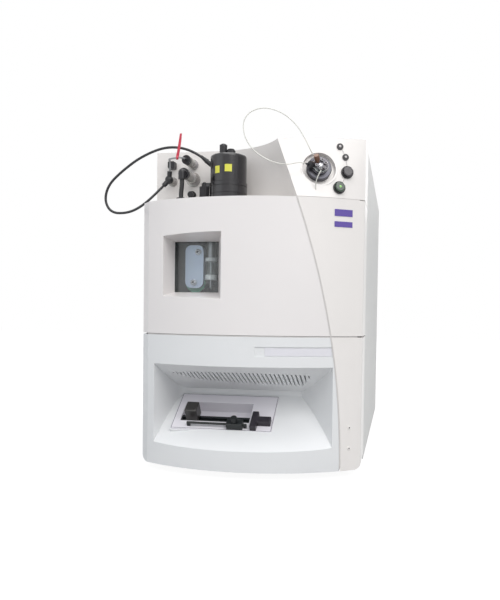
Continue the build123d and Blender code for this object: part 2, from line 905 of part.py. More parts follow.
with BuildPart() as pusher_clip:
    with BuildSketch(pusher_base):
        with Locations((pusher_x, rail_y + pusher_depth - rail_width / 2 + clip_width / 2)):
            RectangleRounded(pusher_length - clip_width, clip_width, clip_width / 4)
    extrude(amount=clip_height)

with BuildPart() as pusher:
    add(pusher_block.part)
    add(pusher_clip.part)
pusher.part.label = "pusher"
export_step(pusher.part, "parts/pusher.step")

rod_plane = Plane(
    origin=plate_plane.from_local_coords((rod_left - plate_plane.origin.X, -rod_drop, rod_rise)),
    x_dir=plate_plane.z_dir,
    z_dir=(1, 0, 0),
)
post_width = 5.0

with BuildPart() as stop_rod:
    with BuildSketch(rod_plane):
        Circle(rod_radius)
    extrude(amount=rod_right - rod_left)
    for end_x in (rod_left + post_width / 2, rod_right - post_width / 2):
        with BuildSketch(plate_plane):
            with Locations((end_x - plate_plane.origin.X, -rod_drop)):
                Rectangle(post_width, 2 * rod_radius)
        extrude(amount=rod_rise)

with BuildPart() as pump_rails:
    add(guide_rail.part)
    add(stop_rod.part)
pump_rails.part.label = "pump_rails"
export_step(pump_rails.part, "parts/pump_rails.step")

collar_plane = rod_plane.offset(collar_left - rod_left)

with BuildPart() as stop_collar:
    with BuildSketch(collar_plane):
        RectangleRounded(2 * rod_rise - 2 * touch_gap, 2 * collar_radius, rod_radius)
        Circle(rod_radius + shaft_gap, mode=Mode.SUBTRACT)
    extrude(amount=collar_right - collar_left)
stop_collar.part.label = "stop_collar"
export_step(stop_collar.part, "parts/stop_collar.step")

collar_middle_x = (collar_left + collar_right) / 2 - plate_plane.origin.X
thumb_plane = plate_plane.offset(2 * rod_rise - touch_gap)

with BuildPart() as thumbscrew:
    with BuildSketch(thumb_plane.offset(touch_gap)):
        with Locations((collar_middle_x, -rod_drop)):
            Circle(thumb_radius)
            with PolarLocations(thumb_radius, thumb_groove_count):
                Circle(thumb_groove, mode=Mode.SUBTRACT)
    extrude(amount=thumb_length)
thumbscrew.part.label = "thumbscrew"
export_step(thumbscrew.part, "parts/thumbscrew.step")

clamp_bar_x = well_right + 9.5
clamp_bar_width = 10.0
clamp_bar_length = 36.0
clamp_arm_reach = 24.0
clamp_arm_width = 14.0
clamp_height = 9.0
clamp_y = -22.5
clamp_corner = 1.2
clamp_chamfer = 1.0

with BuildPart() as syringe_clamp:
    with BuildSketch(plate_plane):
        with Locations((clamp_bar_x - plate_plane.origin.X, clamp_y)):
            RectangleRounded(clamp_bar_width, clamp_bar_length, clamp_corner)
        with Locations((clamp_bar_x + clamp_arm_reach / 2 - plate_plane.origin.X, clamp_y)):
            RectangleRounded(clamp_arm_reach + clamp_bar_width / 2, clamp_arm_width, clamp_corner)
    extrude(amount=clamp_height)
    chamfer(syringe_clamp.faces().sort_by(plate_normal)[-1].edges(), length=clamp_chamfer)
syringe_clamp.part.label = "syringe_clamp"
export_step(syringe_clamp.part, "parts/syringe_clamp.step")

# ---------------------------------------------------------------- ion source behind the door window
enclosure_wall = 4.0
enclosure_low_rise = 42.0
enclosure_front_setback = 61.6
enclosure_front_y = front_y + enclosure_front_setback
enclosure_low = waist_z + enclosure_low_rise
enclosure_drop = 1.0
enclosure_high = shelf_z - enclosure_drop
view_left = 49.0 - half
view_right = 129.0 - half
view_low_rise = 64.0
view_high_rise = 152.0
glass_thickness = 3.0
glass_border = 6.0
heater_x = 105.0 - half
heater_y_setback = 88.6

with BuildPart() as source_enclosure:
    with BuildSketch(Plane.XZ.offset(-bulkhead_y)):
        with Locations(((enclosure_left + enclosure_right) / 2, (enclosure_low + enclosure_high) / 2)):
            RectangleRounded(
                enclosure_right - enclosure_left, enclosure_high - enclosure_low, 2 * enclosure_wall
            )
    extrude(amount=bulkhead_y - enclosure_front_y)
    offset(amount=-enclosure_wall, mode=Mode.SUBTRACT)
    with BuildSketch(Plane.XZ.offset(-enclosure_front_y)):
        with Locations(
            ((view_left + view_right) / 2, waist_z + (view_low_rise + view_high_rise) / 2)
        ):
            Rectangle(view_right - view_left, view_high_rise - view_low_rise)
    extrude(amount=-2 * enclosure_wall, mode=Mode.SUBTRACT)
source_enclosure.part.label = "source_enclosure"
export_step(source_enclosure.part, "parts/source_enclosure.step")

inner_front_y = enclosure_front_y + enclosure_wall
inner_back_y = bulkhead_y - enclosure_wall

with BuildPart() as source_window:
    with BuildSketch(Plane.XZ.offset(-inner_front_y)):
        with Locations(
            ((view_left + view_right) / 2, waist_z + (view_low_rise + view_high_rise) / 2)
        ):
            Rectangle(
                view_right - view_left + 2 * glass_border,
                view_high_rise - view_low_rise + 2 * glass_border,
            )
    extrude(amount=-glass_thickness)
source_window.part.label = "source_window"
export_step(source_window.part, "parts/source_window.step")

block_left = 64.0 - half
block_right = 95.0 - half
block_low_rise = 75.0
block_high_rise = 145.0
block_depth = 24.0
cover_depth = 8.0
valve_disc_x = 79.0 - half
valve_disc_rise = 84.0
valve_disc_radius = 16.5
valve_disc_depth = 4.0
stem_radius = 5.0
stem_stand = 1.5
screw_x = 85.5 - half
screw_rise = 132.4
screw_radius = 4.5
block_x = (block_left + block_right) / 2
block_z = waist_z + (block_low_rise + block_high_rise) / 2
block_front_y = inner_back_y - block_depth
disc_space = valve_disc_depth + 2 * touch_gap
valve_disc_z = waist_z + valve_disc_rise


def block_profile():
    """Front view of the ion block: a plate with well-rounded ends."""
    with BuildSketch(mode=Mode.PRIVATE) as profile:
        with Locations((block_x, block_z)):
            RectangleRounded(
                block_right - block_left,
                block_high_rise - block_low_rise,
                (block_right - block_left) / 3,
            )
    return profile.sketch


with BuildPart() as ion_block:
    with BuildSketch(Plane.XZ.offset(-inner_back_y)):
        add(block_profile())
    extrude(amount=block_depth)
    with BuildSketch(Plane.XZ.offset(-block_front_y)):
        with Locations((screw_x, waist_z + screw_rise)):
            Circle(screw_radius)
    extrude(amount=disc_space)

with BuildPart() as ion_block_cover:
    with BuildSketch(Plane.XZ.offset(-block_front_y + disc_space)):
        add(block_profile())
        with Locations((valve_disc_x, valve_disc_z)):
            Circle(stem_radius + shaft_gap, mode=Mode.SUBTRACT)
    extrude(amount=cover_depth)
    with BuildSketch(Plane.XZ.offset(-block_front_y + disc_space + cover_depth)):
        with Locations((screw_x, waist_z + screw_rise)):
            Circle(screw_radius)
    extrude(amount=-cover_depth / 2, mode=Mode.SUBTRACT)

with BuildPart() as cover_screw:
    with BuildSketch(Plane.XZ.offset(-block_front_y + disc_space + cover_depth / 2)):
        with Locations((screw_x, waist_z + screw_rise)):
            Circle(screw_radius)
            RegularPolygon(screw_radius / 2, 6, mode=Mode.SUBTRACT)
    extrude(amount=cover_depth / 2 + 1)

with BuildPart() as ion_source_block:
    add(ion_block.part)
    add(ion_block_cover.part)
    add(cover_screw.part)
ion_source_block.part.label = "ion_source_block"
export_step(ion_source_block.part, "parts/ion_source_block.step")

with BuildPart() as isolation_valve:
    with BuildSketch(Plane.XZ.offset(-block_front_y + touch_gap)):
        with Locations((valve_disc_x, valve_disc_z)):
            Circle(valve_disc_radius)
    extrude(amount=valve_disc_depth)
    with BuildSketch(Plane.XZ.offset(-block_front_y + touch_gap + valve_disc_depth)):
        with Locations((valve_disc_x, valve_disc_z)):
            Circle(stem_radius)
    extrude(amount=cover_depth + stem_stand)
    with BuildSketch(Plane.XZ.offset(-block_front_y + disc_space + cover_depth + 1)):
        with Locations((valve_disc_x, valve_disc_z)):
            RegularPolygon(stem_radius / 2, 6)
    extrude(amount=-cover_depth / 2, mode=Mode.SUBTRACT)
isolation_valve.part.label = "isolation_valve"
export_step(isolation_valve.part, "parts/isolation_valve.step")

heater_y = front_y + heater_y_setback
heater_tube_radius = 7.0
heater_collar_radius = 10.0
heater_glass_radius = 8.3
heater_glass_wall = 1.5
spray_tip_radius = 2.5
heater_top = enclosure_high - enclosure_wall
tube_end_rise = 125.0
collar_upper_rise = 118.5
collar_lower_rise = 97.0
collar_foot_rise = 88.5
spray_end_rise = 74.0


def upright(x, y, low, high, *radii):
    """A round upright from low to high, with an optional bore as the second radius."""
    with BuildPart(mode=Mode.PRIVATE) as post:
        with BuildSketch(Plane.XY.offset(low)):
            with Locations((x, y)):
                Circle(radii[0])
                if len(radii) > 1:
                    Circle(radii[1], mode=Mode.SUBTRACT)
        extrude(amount=high - low)
    return post.part


with BuildPart() as heater_tube:
    add(
        upright(
            heater_x,
            heater_y,
            waist_z + tube_end_rise,
            heater_top,
            heater_tube_radius,
            spray_tip_radius,
        )
    )
    add(
        upright(
            heater_x,
            heater_y,
            heater_top - enclosure_wall,
            heater_top,
            heater_collar_radius,
            spray_tip_radius,
        )
    )

with BuildPart() as heater_collars:
    for low_rise, high_rise in (
        (collar_upper_rise, tube_end_rise),
        (collar_foot_rise, collar_lower_rise),
    ):
        add(
            upright(
                heater_x,
                heater_y,
                waist_z + low_rise,
                waist_z + high_rise,
                heater_collar_radius,
                spray_tip_radius,
            )
        )
heater_collars.part.label = "heater_collars"
export_step(heater_collars.part, "parts/heater_collars.step")

with BuildPart() as heater_glass:
    add(
        upright(
            heater_x,
            heater_y,
            waist_z + collar_lower_rise,
            waist_z + collar_upper_rise,
            heater_glass_radius,
            heater_glass_radius - heater_glass_wall,
        )
    )
heater_glass.part.label = "heater_glass"
export_step(heater_glass.part, "parts/heater_glass.step")

with BuildPart() as spray_tip:
    add(upright(heater_x, heater_y, waist_z + spray_end_rise, heater_top, spray_tip_radius))
    chamfer(spray_tip.edges().group_by(Axis.Z)[0], length=spray_tip_radius * 0.6)

with BuildPart() as spray_probe:
    add(heater_tube.part)
    add(spray_tip.part)
spray_probe.part.label = "spray_probe"
export_step(spray_probe.part, "parts/spray_probe.step")

# ---------------------------------------------------------------- probe standing through the ledge
probe_radius = 29.3
probe_ring_radius = 30.5
probe_ring_rise = 33.0
probe_top_rise = 78.0
probe_edge = 4.0
groove_depth = 1.2
knob_offset = -9.0
knob_radius = 6.0
knob_top_rise = 98.0
spindle_radius = 2.5
fitting_offset = 5.0
fitting_radius = 6.0
fitting_height = 8.0
adjuster_x = probe_x - 39.0
adjuster_y = probe_y - 5.0
adjuster_knurl = 0.7
adjuster_knurl_count = 20
groove_shares = (0.45, 0.8)
adjuster_radius = 8.0
adjuster_low_rise = 4.0
adjuster_high_rise = 28.0
arm_thickness = 6.0
arm_width = 12.0
ring_z = shelf_z + probe_ring_rise
probe_z = shelf_z + probe_top_rise
arm_z = shelf_z + adjuster_high_rise + touch_gap

with BuildPart() as probe_base:
    add(upright(probe_x, probe_y, enclosure_high, ring_z, probe_ring_radius))
    for rise in groove_shares:
        add(
            upright(
                probe_x,
                probe_y,
                enclosure_high + (ring_z - enclosure_high) * rise,
                enclosure_high + (ring_z - enclosure_high) * rise + groove_depth,
                probe_ring_radius + 1,
                probe_ring_radius - groove_depth,
            ),
            mode=Mode.SUBTRACT,
        )

with BuildPart() as probe_body:
    add(upright(probe_x, probe_y, ring_z, probe_z, probe_radius))
    fillet(probe_body.edges().group_by(Axis.Z)[-1], radius=probe_edge)
    add(
        upright(
            probe_x + knob_offset,
            probe_y,
            probe_z - 2 * probe_edge,
            probe_z,
            spindle_radius + shaft_gap,
        ),
        mode=Mode.SUBTRACT,
    )
probe_body.part.label = "probe_body"
export_step(probe_body.part, "parts/probe_body.step")

with BuildPart() as probe_knob:
    add(
        upright(
            probe_x + knob_offset, probe_y, probe_z + touch_gap, shelf_z + knob_top_rise, knob_radius
        )
    )
    fillet(probe_knob.edges().group_by(Axis.Z)[-1], radius=knob_radius * 0.8)
    add(
        upright(
            probe_x + knob_offset,
            probe_y,
            probe_z - 2 * probe_edge + touch_gap,
            probe_z + 1,
            spindle_radius,
        )
    )
probe_knob.part.label = "probe_knob"
export_step(probe_knob.part, "parts/probe_knob.step")

with BuildPart() as probe_fittings:
    add(
        upright(
            probe_x + fitting_offset, probe_y, probe_z, probe_z + fitting_height, fitting_radius
        )
    )
    add(
        upright(
            probe_x + fitting_offset,
            probe_y,
            probe_z + fitting_height,
            probe_z + fitting_height + 2,
            fitting_radius / 2,
        )
    )

with BuildPart() as adjuster_bracket:
    with BuildSketch(Plane.XY.offset(arm_z)):
        with Locations(((probe_x + adjuster_x) / 2, (probe_y + adjuster_y) / 2)):
            SlotCenterToCenter(
                Vector(probe_x - adjuster_x, probe_y - adjuster_y).length,
                arm_width,
                rotation=Vector(1, 0, 0).get_signed_angle(
                    Vector(probe_x - adjuster_x, probe_y - adjuster_y)
                ),
            )
    extrude(amount=arm_thickness)
    add(
        upright(probe_x, probe_y, arm_z - 1, arm_z + arm_thickness + 1, probe_ring_radius),
        mode=Mode.SUBTRACT,
    )
    add(
        upright(
            adjuster_x, adjuster_y, arm_z - 1, arm_z + arm_thickness + 1, spindle_radius + shaft_gap
        ),
        mode=Mode.SUBTRACT,
    )

with BuildPart() as probe_stand:
    add(probe_base.part)
    add(adjuster_bracket.part)
probe_stand.part.label = "probe_stand"
export_step(probe_stand.part, "parts/probe_stand.step")

with BuildPart() as adjuster_knob:
    with BuildSketch(Plane.XY.offset(shelf_z + adjuster_low_rise)):
        with Locations((adjuster_x, adjuster_y)):
            Circle(adjuster_radius)
            with PolarLocations(adjuster_radius, adjuster_knurl_count):
                Circle(adjuster_knurl, mode=Mode.SUBTRACT)
    extrude(amount=adjuster_high_rise - adjuster_low_rise)
    add(
        upright(
            adjuster_x,
            adjuster_y,
            shelf_z + adjuster_high_rise - 1,
            arm_z + arm_thickness + 1,
            spindle_radius,
        )
    )
adjuster_knob.part.label = "adjuster_knob"
export_step(adjuster_knob.part, "parts/adjuster_knob.step")

# ---------------------------------------------------------------- panel connectors


def forward(x, z, start, end, *radii):
    """A round bar facing the user from setback y=start to y=end (smaller), bore optional."""
    with BuildPart(mode=Mode.PRIVATE) as bar:
        with BuildSketch(Plane.XZ.offset(-start)):
            with Locations((x, z)):
                Circle(radii[0])
                if len(radii) > 1:
                    Circle(radii[1], mode=Mode.SUBTRACT)
        extrude(amount=start - end)
    return bar.part


upper_length = 43.0
lower_length = 56.0
upper_flange_radius = 8.5
lower_flange_radius = 12.0
flange_thickness = 4.0
barrel_radius = 6.5
lower_barrel_radius = 7.5
barrel_ring_shares = (0.35, 0.55, 0.75)
end_length = 8.0
corner_length = 14.0
corner_radius = 6.0
gas_port_length = 12.0
gas_port_radius = 5.0
upper_z = shelf_z + connector_upper_rise
lower_z = shelf_z + connector_lower_rise
corner_z = shelf_z + corner_connector_rise
gas_port_z = shelf_z + gas_port_rise
upper_end_y = recess_y - upper_length
lower_end_y = recess_y - lower_length

with BuildPart() as upper_connector:
    add(forward(connector_x, upper_z, bulkhead_y + plate, recess_y, shank_radius))
    add(forward(connector_x, upper_z, recess_y, recess_y - flange_thickness, upper_flange_radius))
    add(forward(connector_x, upper_z, recess_y, upper_end_y + end_length, barrel_radius))
    for step in barrel_ring_shares:
        add(
            forward(
                connector_x,
                upper_z,
                recess_y - upper_length * step,
                recess_y - upper_length * step - 2 * groove_depth,
                barrel_radius + 1,
            )
        )

with BuildPart() as lower_connector:
    add(forward(connector_x, lower_z, bulkhead_y + plate, recess_y, shank_radius))
    add(forward(connector_x, lower_z, recess_y, recess_y - flange_thickness, lower_flange_radius))
    add(forward(connector_x, lower_z, recess_y, lower_end_y + end_length, lower_barrel_radius))
    add(
        forward(
            connector_x,
            lower_z,
            recess_y - 3 * flange_thickness,
            recess_y - 5 * flange_thickness,
            lower_barrel_radius + 2,
        )
    )

with BuildPart() as connector_ends:
    add(forward(connector_x, upper_z, upper_end_y + end_length, upper_end_y, barrel_radius + 1))
    add(forward(connector_x, lower_z, lower_end_y + end_length, lower_end_y, lower_barrel_radius + 1.5))

with BuildPart() as corner_connector:
    add(forward(corner_connector_x, corner_z, bulkhead_y + plate, recess_y, shank_radius))
    add(
        forward(
            corner_connector_x, corner_z, recess_y, recess_y - flange_thickness, corner_radius + 2
        )
    )
    with BuildSketch(Plane.XZ.offset(-recess_y + flange_thickness)):
        with Locations((corner_connector_x, corner_z)):
            RegularPolygon(corner_radius, 6)
    extrude(amount=corner_length - flange_thickness)

with BuildPart() as panel_connectors:
    add(upper_connector.part)
    add(lower_connector.part)
    add(corner_connector.part)
panel_connectors.part.label = "panel_connectors"
export_step(panel_connectors.part, "parts/panel_connectors.step")

with BuildPart() as gas_port:
    add(forward(gas_port_x, gas_port_z, recess_y, recess_y - flange_thickness / 2, gas_port_radius + 2))
    add(forward(gas_port_x, gas_port_z, recess_y, recess_y - gas_port_length, gas_port_radius))

# ---------------------------------------------------------------- injector valve in the tower cup
stator_radius = 12.0
valve_stand = 3.0
stator_stand = 3.0
drive_radius = 16.0
drive_length = 60.0
nut_radius = 5.2
nut_length = 12.0
port_nut_radius = 2.8
port_nut_length = 4.0
port_nut_places = [(3.5, 6.5), (8.0, 1.5), (3.5, -4.5)]
left_nut_seat = (-19.0, 0.0)
nut_groove = 0.6
nut_groove_count = 10
stator_seat = 2.0
valve_chamfer = 1.0
stator_chamfer = 0.8

with BuildPart() as valve_body:
    with BuildSketch(valve_plane.offset(-valve_cup_depth)):
        Circle(valve_radius)
    extrude(amount=valve_cup_depth + valve_stand)
    chamfer(valve_body.edges().filter_by(GeomType.CIRCLE), length=valve_chamfer)
    with BuildSketch(valve_plane.offset(valve_stand)):
        Circle(stator_radius + touch_gap)
        with Locations(left_nut_seat):
            Circle(nut_radius)
    extrude(amount=-stator_seat, mode=Mode.SUBTRACT)

with BuildPart() as valve_stator:
    with BuildSketch(valve_plane.offset(valve_stand - stator_seat)):
        Circle(stator_radius)
    extrude(amount=stator_seat + stator_stand)
    chamfer(valve_stator.edges().filter_by(GeomType.CIRCLE), length=stator_chamfer)


def tilted(frame, start, aim, length, *radii):
    """A round bar from a local point of a plane, aimed along a local direction."""
    base = frame.from_local_coords(start)
    tip = frame.from_local_coords(tuple(s + a for s, a in zip(start, aim)))
    with BuildPart(mode=Mode.PRIVATE) as bar:
        with BuildSketch(Plane(origin=base, z_dir=tip - base)):
            Circle(radii[0])
            if len(radii) > 1:
                Circle(radii[1], mode=Mode.SUBTRACT)
        extrude(amount=length)
    return bar.part


def tilted_end(frame, start, aim, length):
    """Centre of the far end of a bar made by tilted()."""
    base = frame.from_local_coords(start)
    tip = frame.from_local_coords(tuple(s + a for s, a in zip(start, aim)))
    return base + (tip - base).normalized() * length


nut_root = valve_stand + stator_stand
shank_share = 0.7
left_nut_start = (-8.0, 0.0, nut_root)
left_nut_aim = (-0.8, 0.0, 0.6)
upper_nut_start = (-3.0, 8.0, nut_root)
upper_nut_aim = (-0.35, 0.5, 0.8)
upper_nut_radius = 4.16
drain_start = (1.0, -8.0, nut_root)

with BuildPart() as finger_nuts:
    for start, aim in ((left_nut_start, left_nut_aim), (upper_nut_start, upper_nut_aim)):
        add(tilted(valve_plane, start, aim, nut_length, nut_radius * shank_share))
    for start, aim, radius in (
        (left_nut_start, left_nut_aim, nut_radius),
        (upper_nut_start, upper_nut_aim, upper_nut_radius),
    ):
        collar = tilted_end(valve_plane, start, aim, nut_length / 3)
        with BuildSketch(Plane(origin=collar, z_dir=collar - valve_plane.from_local_coords(start))):
            Circle(radius)
            with PolarLocations(radius, nut_groove_count):
                Circle(nut_groove, mode=Mode.SUBTRACT)
        extrude(amount=nut_length * 2 / 3)
    with BuildSketch(valve_plane.offset(nut_root)):
        Circle(stator_radius * 2)
    extrude(amount=-4 * nut_root, mode=Mode.SUBTRACT)
finger_nuts.part.label = "finger_nuts"
export_step(finger_nuts.part, "parts/finger_nuts.step")

with BuildPart() as port_nuts:
    with BuildSketch(valve_plane.offset(nut_root)):
        with Locations(*port_nut_places):
            RegularPolygon(port_nut_radius, 6)
            Circle(port_nut_radius / 3, mode=Mode.SUBTRACT)
    extrude(amount=port_nut_length)

with BuildPart() as valve_face:
    add(valve_stator.part)
    add(port_nuts.part)
valve_face.part.label = "valve_face"
export_step(valve_face.part, "parts/valve_face.step")

with BuildPart() as valve_drive:
    with BuildSketch(valve_plane.offset(-valve_cup_depth - wall)):
        Circle(drive_radius)
    extrude(amount=-drive_length)

with BuildPart() as valve_set:
    add(valve_body.part)
    add(valve_drive.part)
valve_set.part.label = "valve_set"
export_step(valve_set.part, "parts/valve_set.step")

# ---------------------------------------------------------------- buttons and lamps on the tower
stop_spot = (half - 28.0, 41.7)
start_spot = (half - 39.0, 16.7)
lamp_spots = [(half - 39.4, 81.8), (half - 30.7, 65.5)]
button_radius = 8.0
bezel_radius = 9.6
bezel_height = 3.5
button_low = 2.6
button_high = 7.0
button_round = 2.0
skin_sink = 1.0
lamp_radius = 3.4
lamp_ring_radius = 5.2
lamp_ring_height = 1.6
lens_stand = 0.6
stop_plane = on_tower(stop_spot[0], shelf_z + stop_spot[1])
start_plane = on_tower(start_spot[0], shelf_z + start_spot[1])
lamp_planes = [on_tower(x, shelf_z + rise) for x, rise in lamp_spots]


def disc(frame, low, high, *radii):
    """A disc over a plane from low to high, with an optional bore."""
    with BuildPart(mode=Mode.PRIVATE) as piece:
        with BuildSketch(frame.offset(low)):
            Circle(radii[0])
            if len(radii) > 1:
                Circle(radii[1], mode=Mode.SUBTRACT)
        extrude(amount=high - low)
    return piece.part


with BuildPart() as button_bezels:
    for frame in (stop_plane, start_plane):
        add(disc(frame, -skin_sink, bezel_height, bezel_radius, button_radius + touch_gap))
    for frame in lamp_planes:
        add(disc(frame, -skin_sink, lamp_ring_height, lamp_ring_radius, lamp_radius))
    add(tower_outer, mode=Mode.SUBTRACT)
button_bezels.part.label = "button_bezels"
export_step(button_bezels.part, "parts/button_bezels.step")

with BuildPart() as stop_button:
    add(disc(stop_plane, button_low, button_high, button_radius))
    fillet(
        stop_button.faces().sort_by(Axis(stop_plane.origin, stop_plane.z_dir))[-1].edges(),
        radius=button_round,
    )
stop_button.part.label = "stop_button"
export_step(stop_button.part, "parts/stop_button.step")

with BuildPart() as start_button:
    add(disc(start_plane, button_low, button_high, button_radius))
    fillet(
        start_button.faces().sort_by(Axis(start_plane.origin, start_plane.z_dir))[-1].edges(),
        radius=button_round,
    )
start_button.part.label = "start_button"
export_step(start_button.part, "parts/start_button.step")

with BuildPart() as lamp_lenses:
    for frame in lamp_planes:
        add(disc(frame, -skin_sink, lamp_ring_height + lens_stand, lamp_radius))
    add(tower_outer, mode=Mode.SUBTRACT)

led_x = half - 18.0
led_rises = (67.0, 35.0)
led_radius = 2.6
led_stand = 1.2

with BuildPart() as column_leds:
    for rise in led_rises:
        point = Vector(led_x, front_at(led_x), skirt_z + rise)
        frame = Plane(origin=point, z_dir=point - Vector(bow_x, bow_y, point.Z))
        add(disc(frame, -skin_sink, led_stand, led_radius))
    add(right_column_lower.part, mode=Mode.SUBTRACT)

with BuildPart() as lamp_set:
    add(lamp_lenses.part)
    add(column_leds.part)
lamp_set.part.label = "lamp_set"
export_step(lamp_set.part, "parts/lamp_set.step")

# ---------------------------------------------------------------- cords and tubes
bend_share = 0.45
hv_radius = 2.1
grey_radius = 1.4
hose_radius = 3.6
line_radius = 0.8
boot_stand = 7.0
boot_y = recess_y - corner_length - boot_stand
boot_radius = 7.0
elbow_radius = 6.0
elbow_y = lower_end_y - boot_stand
elbow_drop = 11.0
grommet_radius = 7.5
grommet_height = 4.0
grommet_x = gas_port_x
grommet_y = front_y + 54.6
hv_lead = 28.0
grey_lead = 17.0
hose_lead = 9.0
boot_tail = 14.0
boot_tail_radius = 4.0
gland_radius = 3.6
loop_lead_length = 14.0
loop_return_length = 12.0


def cord(name, points, radius):
    """A tube along straight runs joined by tangent arcs; prints its length and its bends."""
    points = [Vector(*point) for point in points]
    runs = [b - a for a, b in zip(points, points[1:])]
    starts = [points[0]]
    ends = []
    middles = []
    bends = []
    for corner, before, after in zip(points[1:], runs, runs[1:]):
        cut = bend_share * min(before.length, after.length)
        half_turn = math.radians(before.get_angle(after) / 2)
        bend = cut / math.tan(half_turn)
        across = (after.normalized() - before.normalized()).normalized()
        ends.append(corner - before.normalized() * cut)
        starts.append(corner + after.normalized() * cut)
        middles.append(corner + across * (bend / math.cos(half_turn) - bend))
        bends.append(bend)
    ends.append(points[-1])
    with BuildPart(mode=Mode.PRIVATE) as tube:
        with BuildLine() as path:
            for index, (start, end) in enumerate(zip(starts, ends)):
                Line(start, end)
                if index < len(middles):
                    ThreePointArc(end, middles[index], starts[index + 1])
        with BuildSketch(Plane(origin=points[0], z_dir=runs[0])):
            Circle(radius)
        sweep(path=path.wire())
    print(name, "length", round(path.wire().length, 1), "bends", [round(bend, 1) for bend in bends])
    return tube.part


def places(origin, *offsets):
    """Points that stand at given offsets from one place."""
    return [tuple(origin + Vector(*offset)) for offset in offsets]


gland_aim = Vector(-1.0, -0.05, 0.85).normalized()
gland_end = Vector(probe_x - 36.0, probe_y - 1.6, shelf_z + 70.0)
boot_middle = Vector(corner_connector_x, boot_y, corner_z)
hv_guide = boot_middle + Vector(-23, -14, -30)
grey_guide = boot_middle + Vector(5, -9, 30)
hv_aim = (hv_guide - boot_middle).normalized()
grey_aim = (grey_guide - boot_middle).normalized()
hv_route = [
    tuple(gland_end),
    tuple(gland_end + gland_aim * hv_lead),
    *places(
        boot_middle,
        (6, -23, 51),
        (-38, -26, 35),
        (-73, -28, 10),
        (-100, -29, -16),
        (-108, -30, -43),
        (-93, -30, -65),
        (-67, -29, -65),
        (-44, -23, -50),
    ),
    tuple(hv_guide),
    tuple(boot_middle + hv_aim * boot_tail),
]
grey_route = [
    (connector_x, upper_end_y, upper_z),
    (connector_x, upper_end_y - grey_lead, upper_z),
    *places(boot_middle, (18, -45, 25), (8, -28, 27)),
    tuple(grey_guide),
    tuple(boot_middle + grey_aim * boot_tail),
]
hose_route = [
    (connector_x, elbow_y, lower_z - elbow_drop),
    (connector_x, elbow_y, lower_z - elbow_drop - hose_lead),
    (grommet_x, grommet_y, tower_base_z + ledge_thickness + grommet_height + hose_lead),
    (grommet_x, grommet_y, tower_base_z + ledge_thickness + grommet_height),
]
loop_start = tilted_end(valve_plane, left_nut_start, left_nut_aim, nut_length)
loop_end = tilted_end(valve_plane, upper_nut_start, upper_nut_aim, nut_length)
loop_route = [
    tuple(loop_start),
    tuple(tilted_end(valve_plane, left_nut_start, left_nut_aim, nut_length + loop_lead_length)),
    *places(
        valve_plane.origin,
        (-47, -30, 0),
        (-73, -30, 7),
        (-100, -28, 25),
        (-115, -26, 53),
        (-112, -24, 79),
        (-87, -22, 91),
        (-57, -21, 83),
        (-33, -21, 63),
        (-18, -22, 38),
    ),
    tuple(tilted_end(valve_plane, upper_nut_start, upper_nut_aim, nut_length + loop_return_length)),
    tuple(loop_end),
]
drain_route = [
    tuple(valve_plane.from_local_coords(place))
    for place in (
        drain_start,
        (drain_start[0], drain_start[1], nut_root + 9.0),
        (-4.0, -19.0, nut_root + 11.0),
        (-6.0, -30.0, nut_root + 3.0),
        (-1.0, -38.0, 3.0),
    )
]
tie_share = 0.475
tie_width = 3.4
tie_radius = 3.0
tie_thickness = 1.4
tie_tail = Vector(6.0, 0.0, 38.0)
tie_start = Vector(*grey_route[1])
tie_end = Vector(*grey_route[2])
tie_place = tie_start + (tie_end - tie_start) * tie_share

with BuildPart() as hv_cable:
    add(cord("hv_cable", hv_route, hv_radius))
hv_cable.part.label = "hv_cable"
export_step(hv_cable.part, "parts/hv_cable.step")

with BuildPart() as grey_cable:
    add(cord("grey_cable", grey_route, grey_radius))
grey_cable.part.label = "grey_cable"
export_step(grey_cable.part, "parts/grey_cable.step")

with BuildPart() as cable_tie:
    with BuildSketch(Plane(origin=tie_place, z_dir=tie_tail)):
        RectangleRounded(tie_width, tie_thickness, tie_thickness / 3)
    extrude(amount=tie_tail.length)
    with BuildSketch(Plane(origin=tie_place, z_dir=tie_end - tie_start)):
        Circle(tie_radius)
    extrude(amount=tie_width / 2, both=True)
    with BuildSketch(Plane(origin=tie_place, z_dir=tie_end - tie_start)):
        Circle(grey_radius)
    extrude(amount=2 * tie_width, both=True, mode=Mode.SUBTRACT)
cable_tie.part.label = "cable_tie"
export_step(cable_tie.part, "parts/cable_tie.step")

with BuildPart() as braided_hose:
    add(cord("braided_hose", hose_route, hose_radius))
braided_hose.part.label = "braided_hose"
export_step(braided_hose.part, "parts/braided_hose.step")

with BuildPart() as sample_loop:
    add(cord("sample_loop", loop_route, line_radius))
sample_loop.part.label = "sample_loop"
export_step(sample_loop.part, "parts/sample_loop.step")

with BuildPart() as drain_tube:
    add(cord("drain_tube", drain_route, line_radius))
drain_tube.part.label = "drain_tube"
export_step(drain_tube.part, "parts/drain_tube.step")

with BuildPart() as plug_boot:
    with Locations(boot_middle):
        Sphere(boot_radius)
    for aim in (hv_aim, grey_aim):
        with BuildSketch(Plane(origin=boot_middle, z_dir=aim)):
            Circle(boot_tail_radius)
        extrude(amount=boot_tail)
    add(forward(corner_connector_x, corner_z, recess_y - corner_length, boot_y, corner_radius - 1))
plug_boot.part.label = "plug_boot"
export_step(plug_boot.part, "parts/plug_boot.step")

with BuildPart() as hose_elbow:
    add(forward(connector_x, lower_z, lower_end_y, elbow_y, elbow_radius))
    with Locations((connector_x, elbow_y, lower_z)):
        Sphere(elbow_radius)
    add(upright(connector_x, elbow_y, lower_z - elbow_drop, lower_z, elbow_radius))
    add(
        upright(
            grommet_x,
            grommet_y,
            tower_base_z + ledge_thickness,
            hose_route[-1][2],
            grommet_radius,
        )
    )

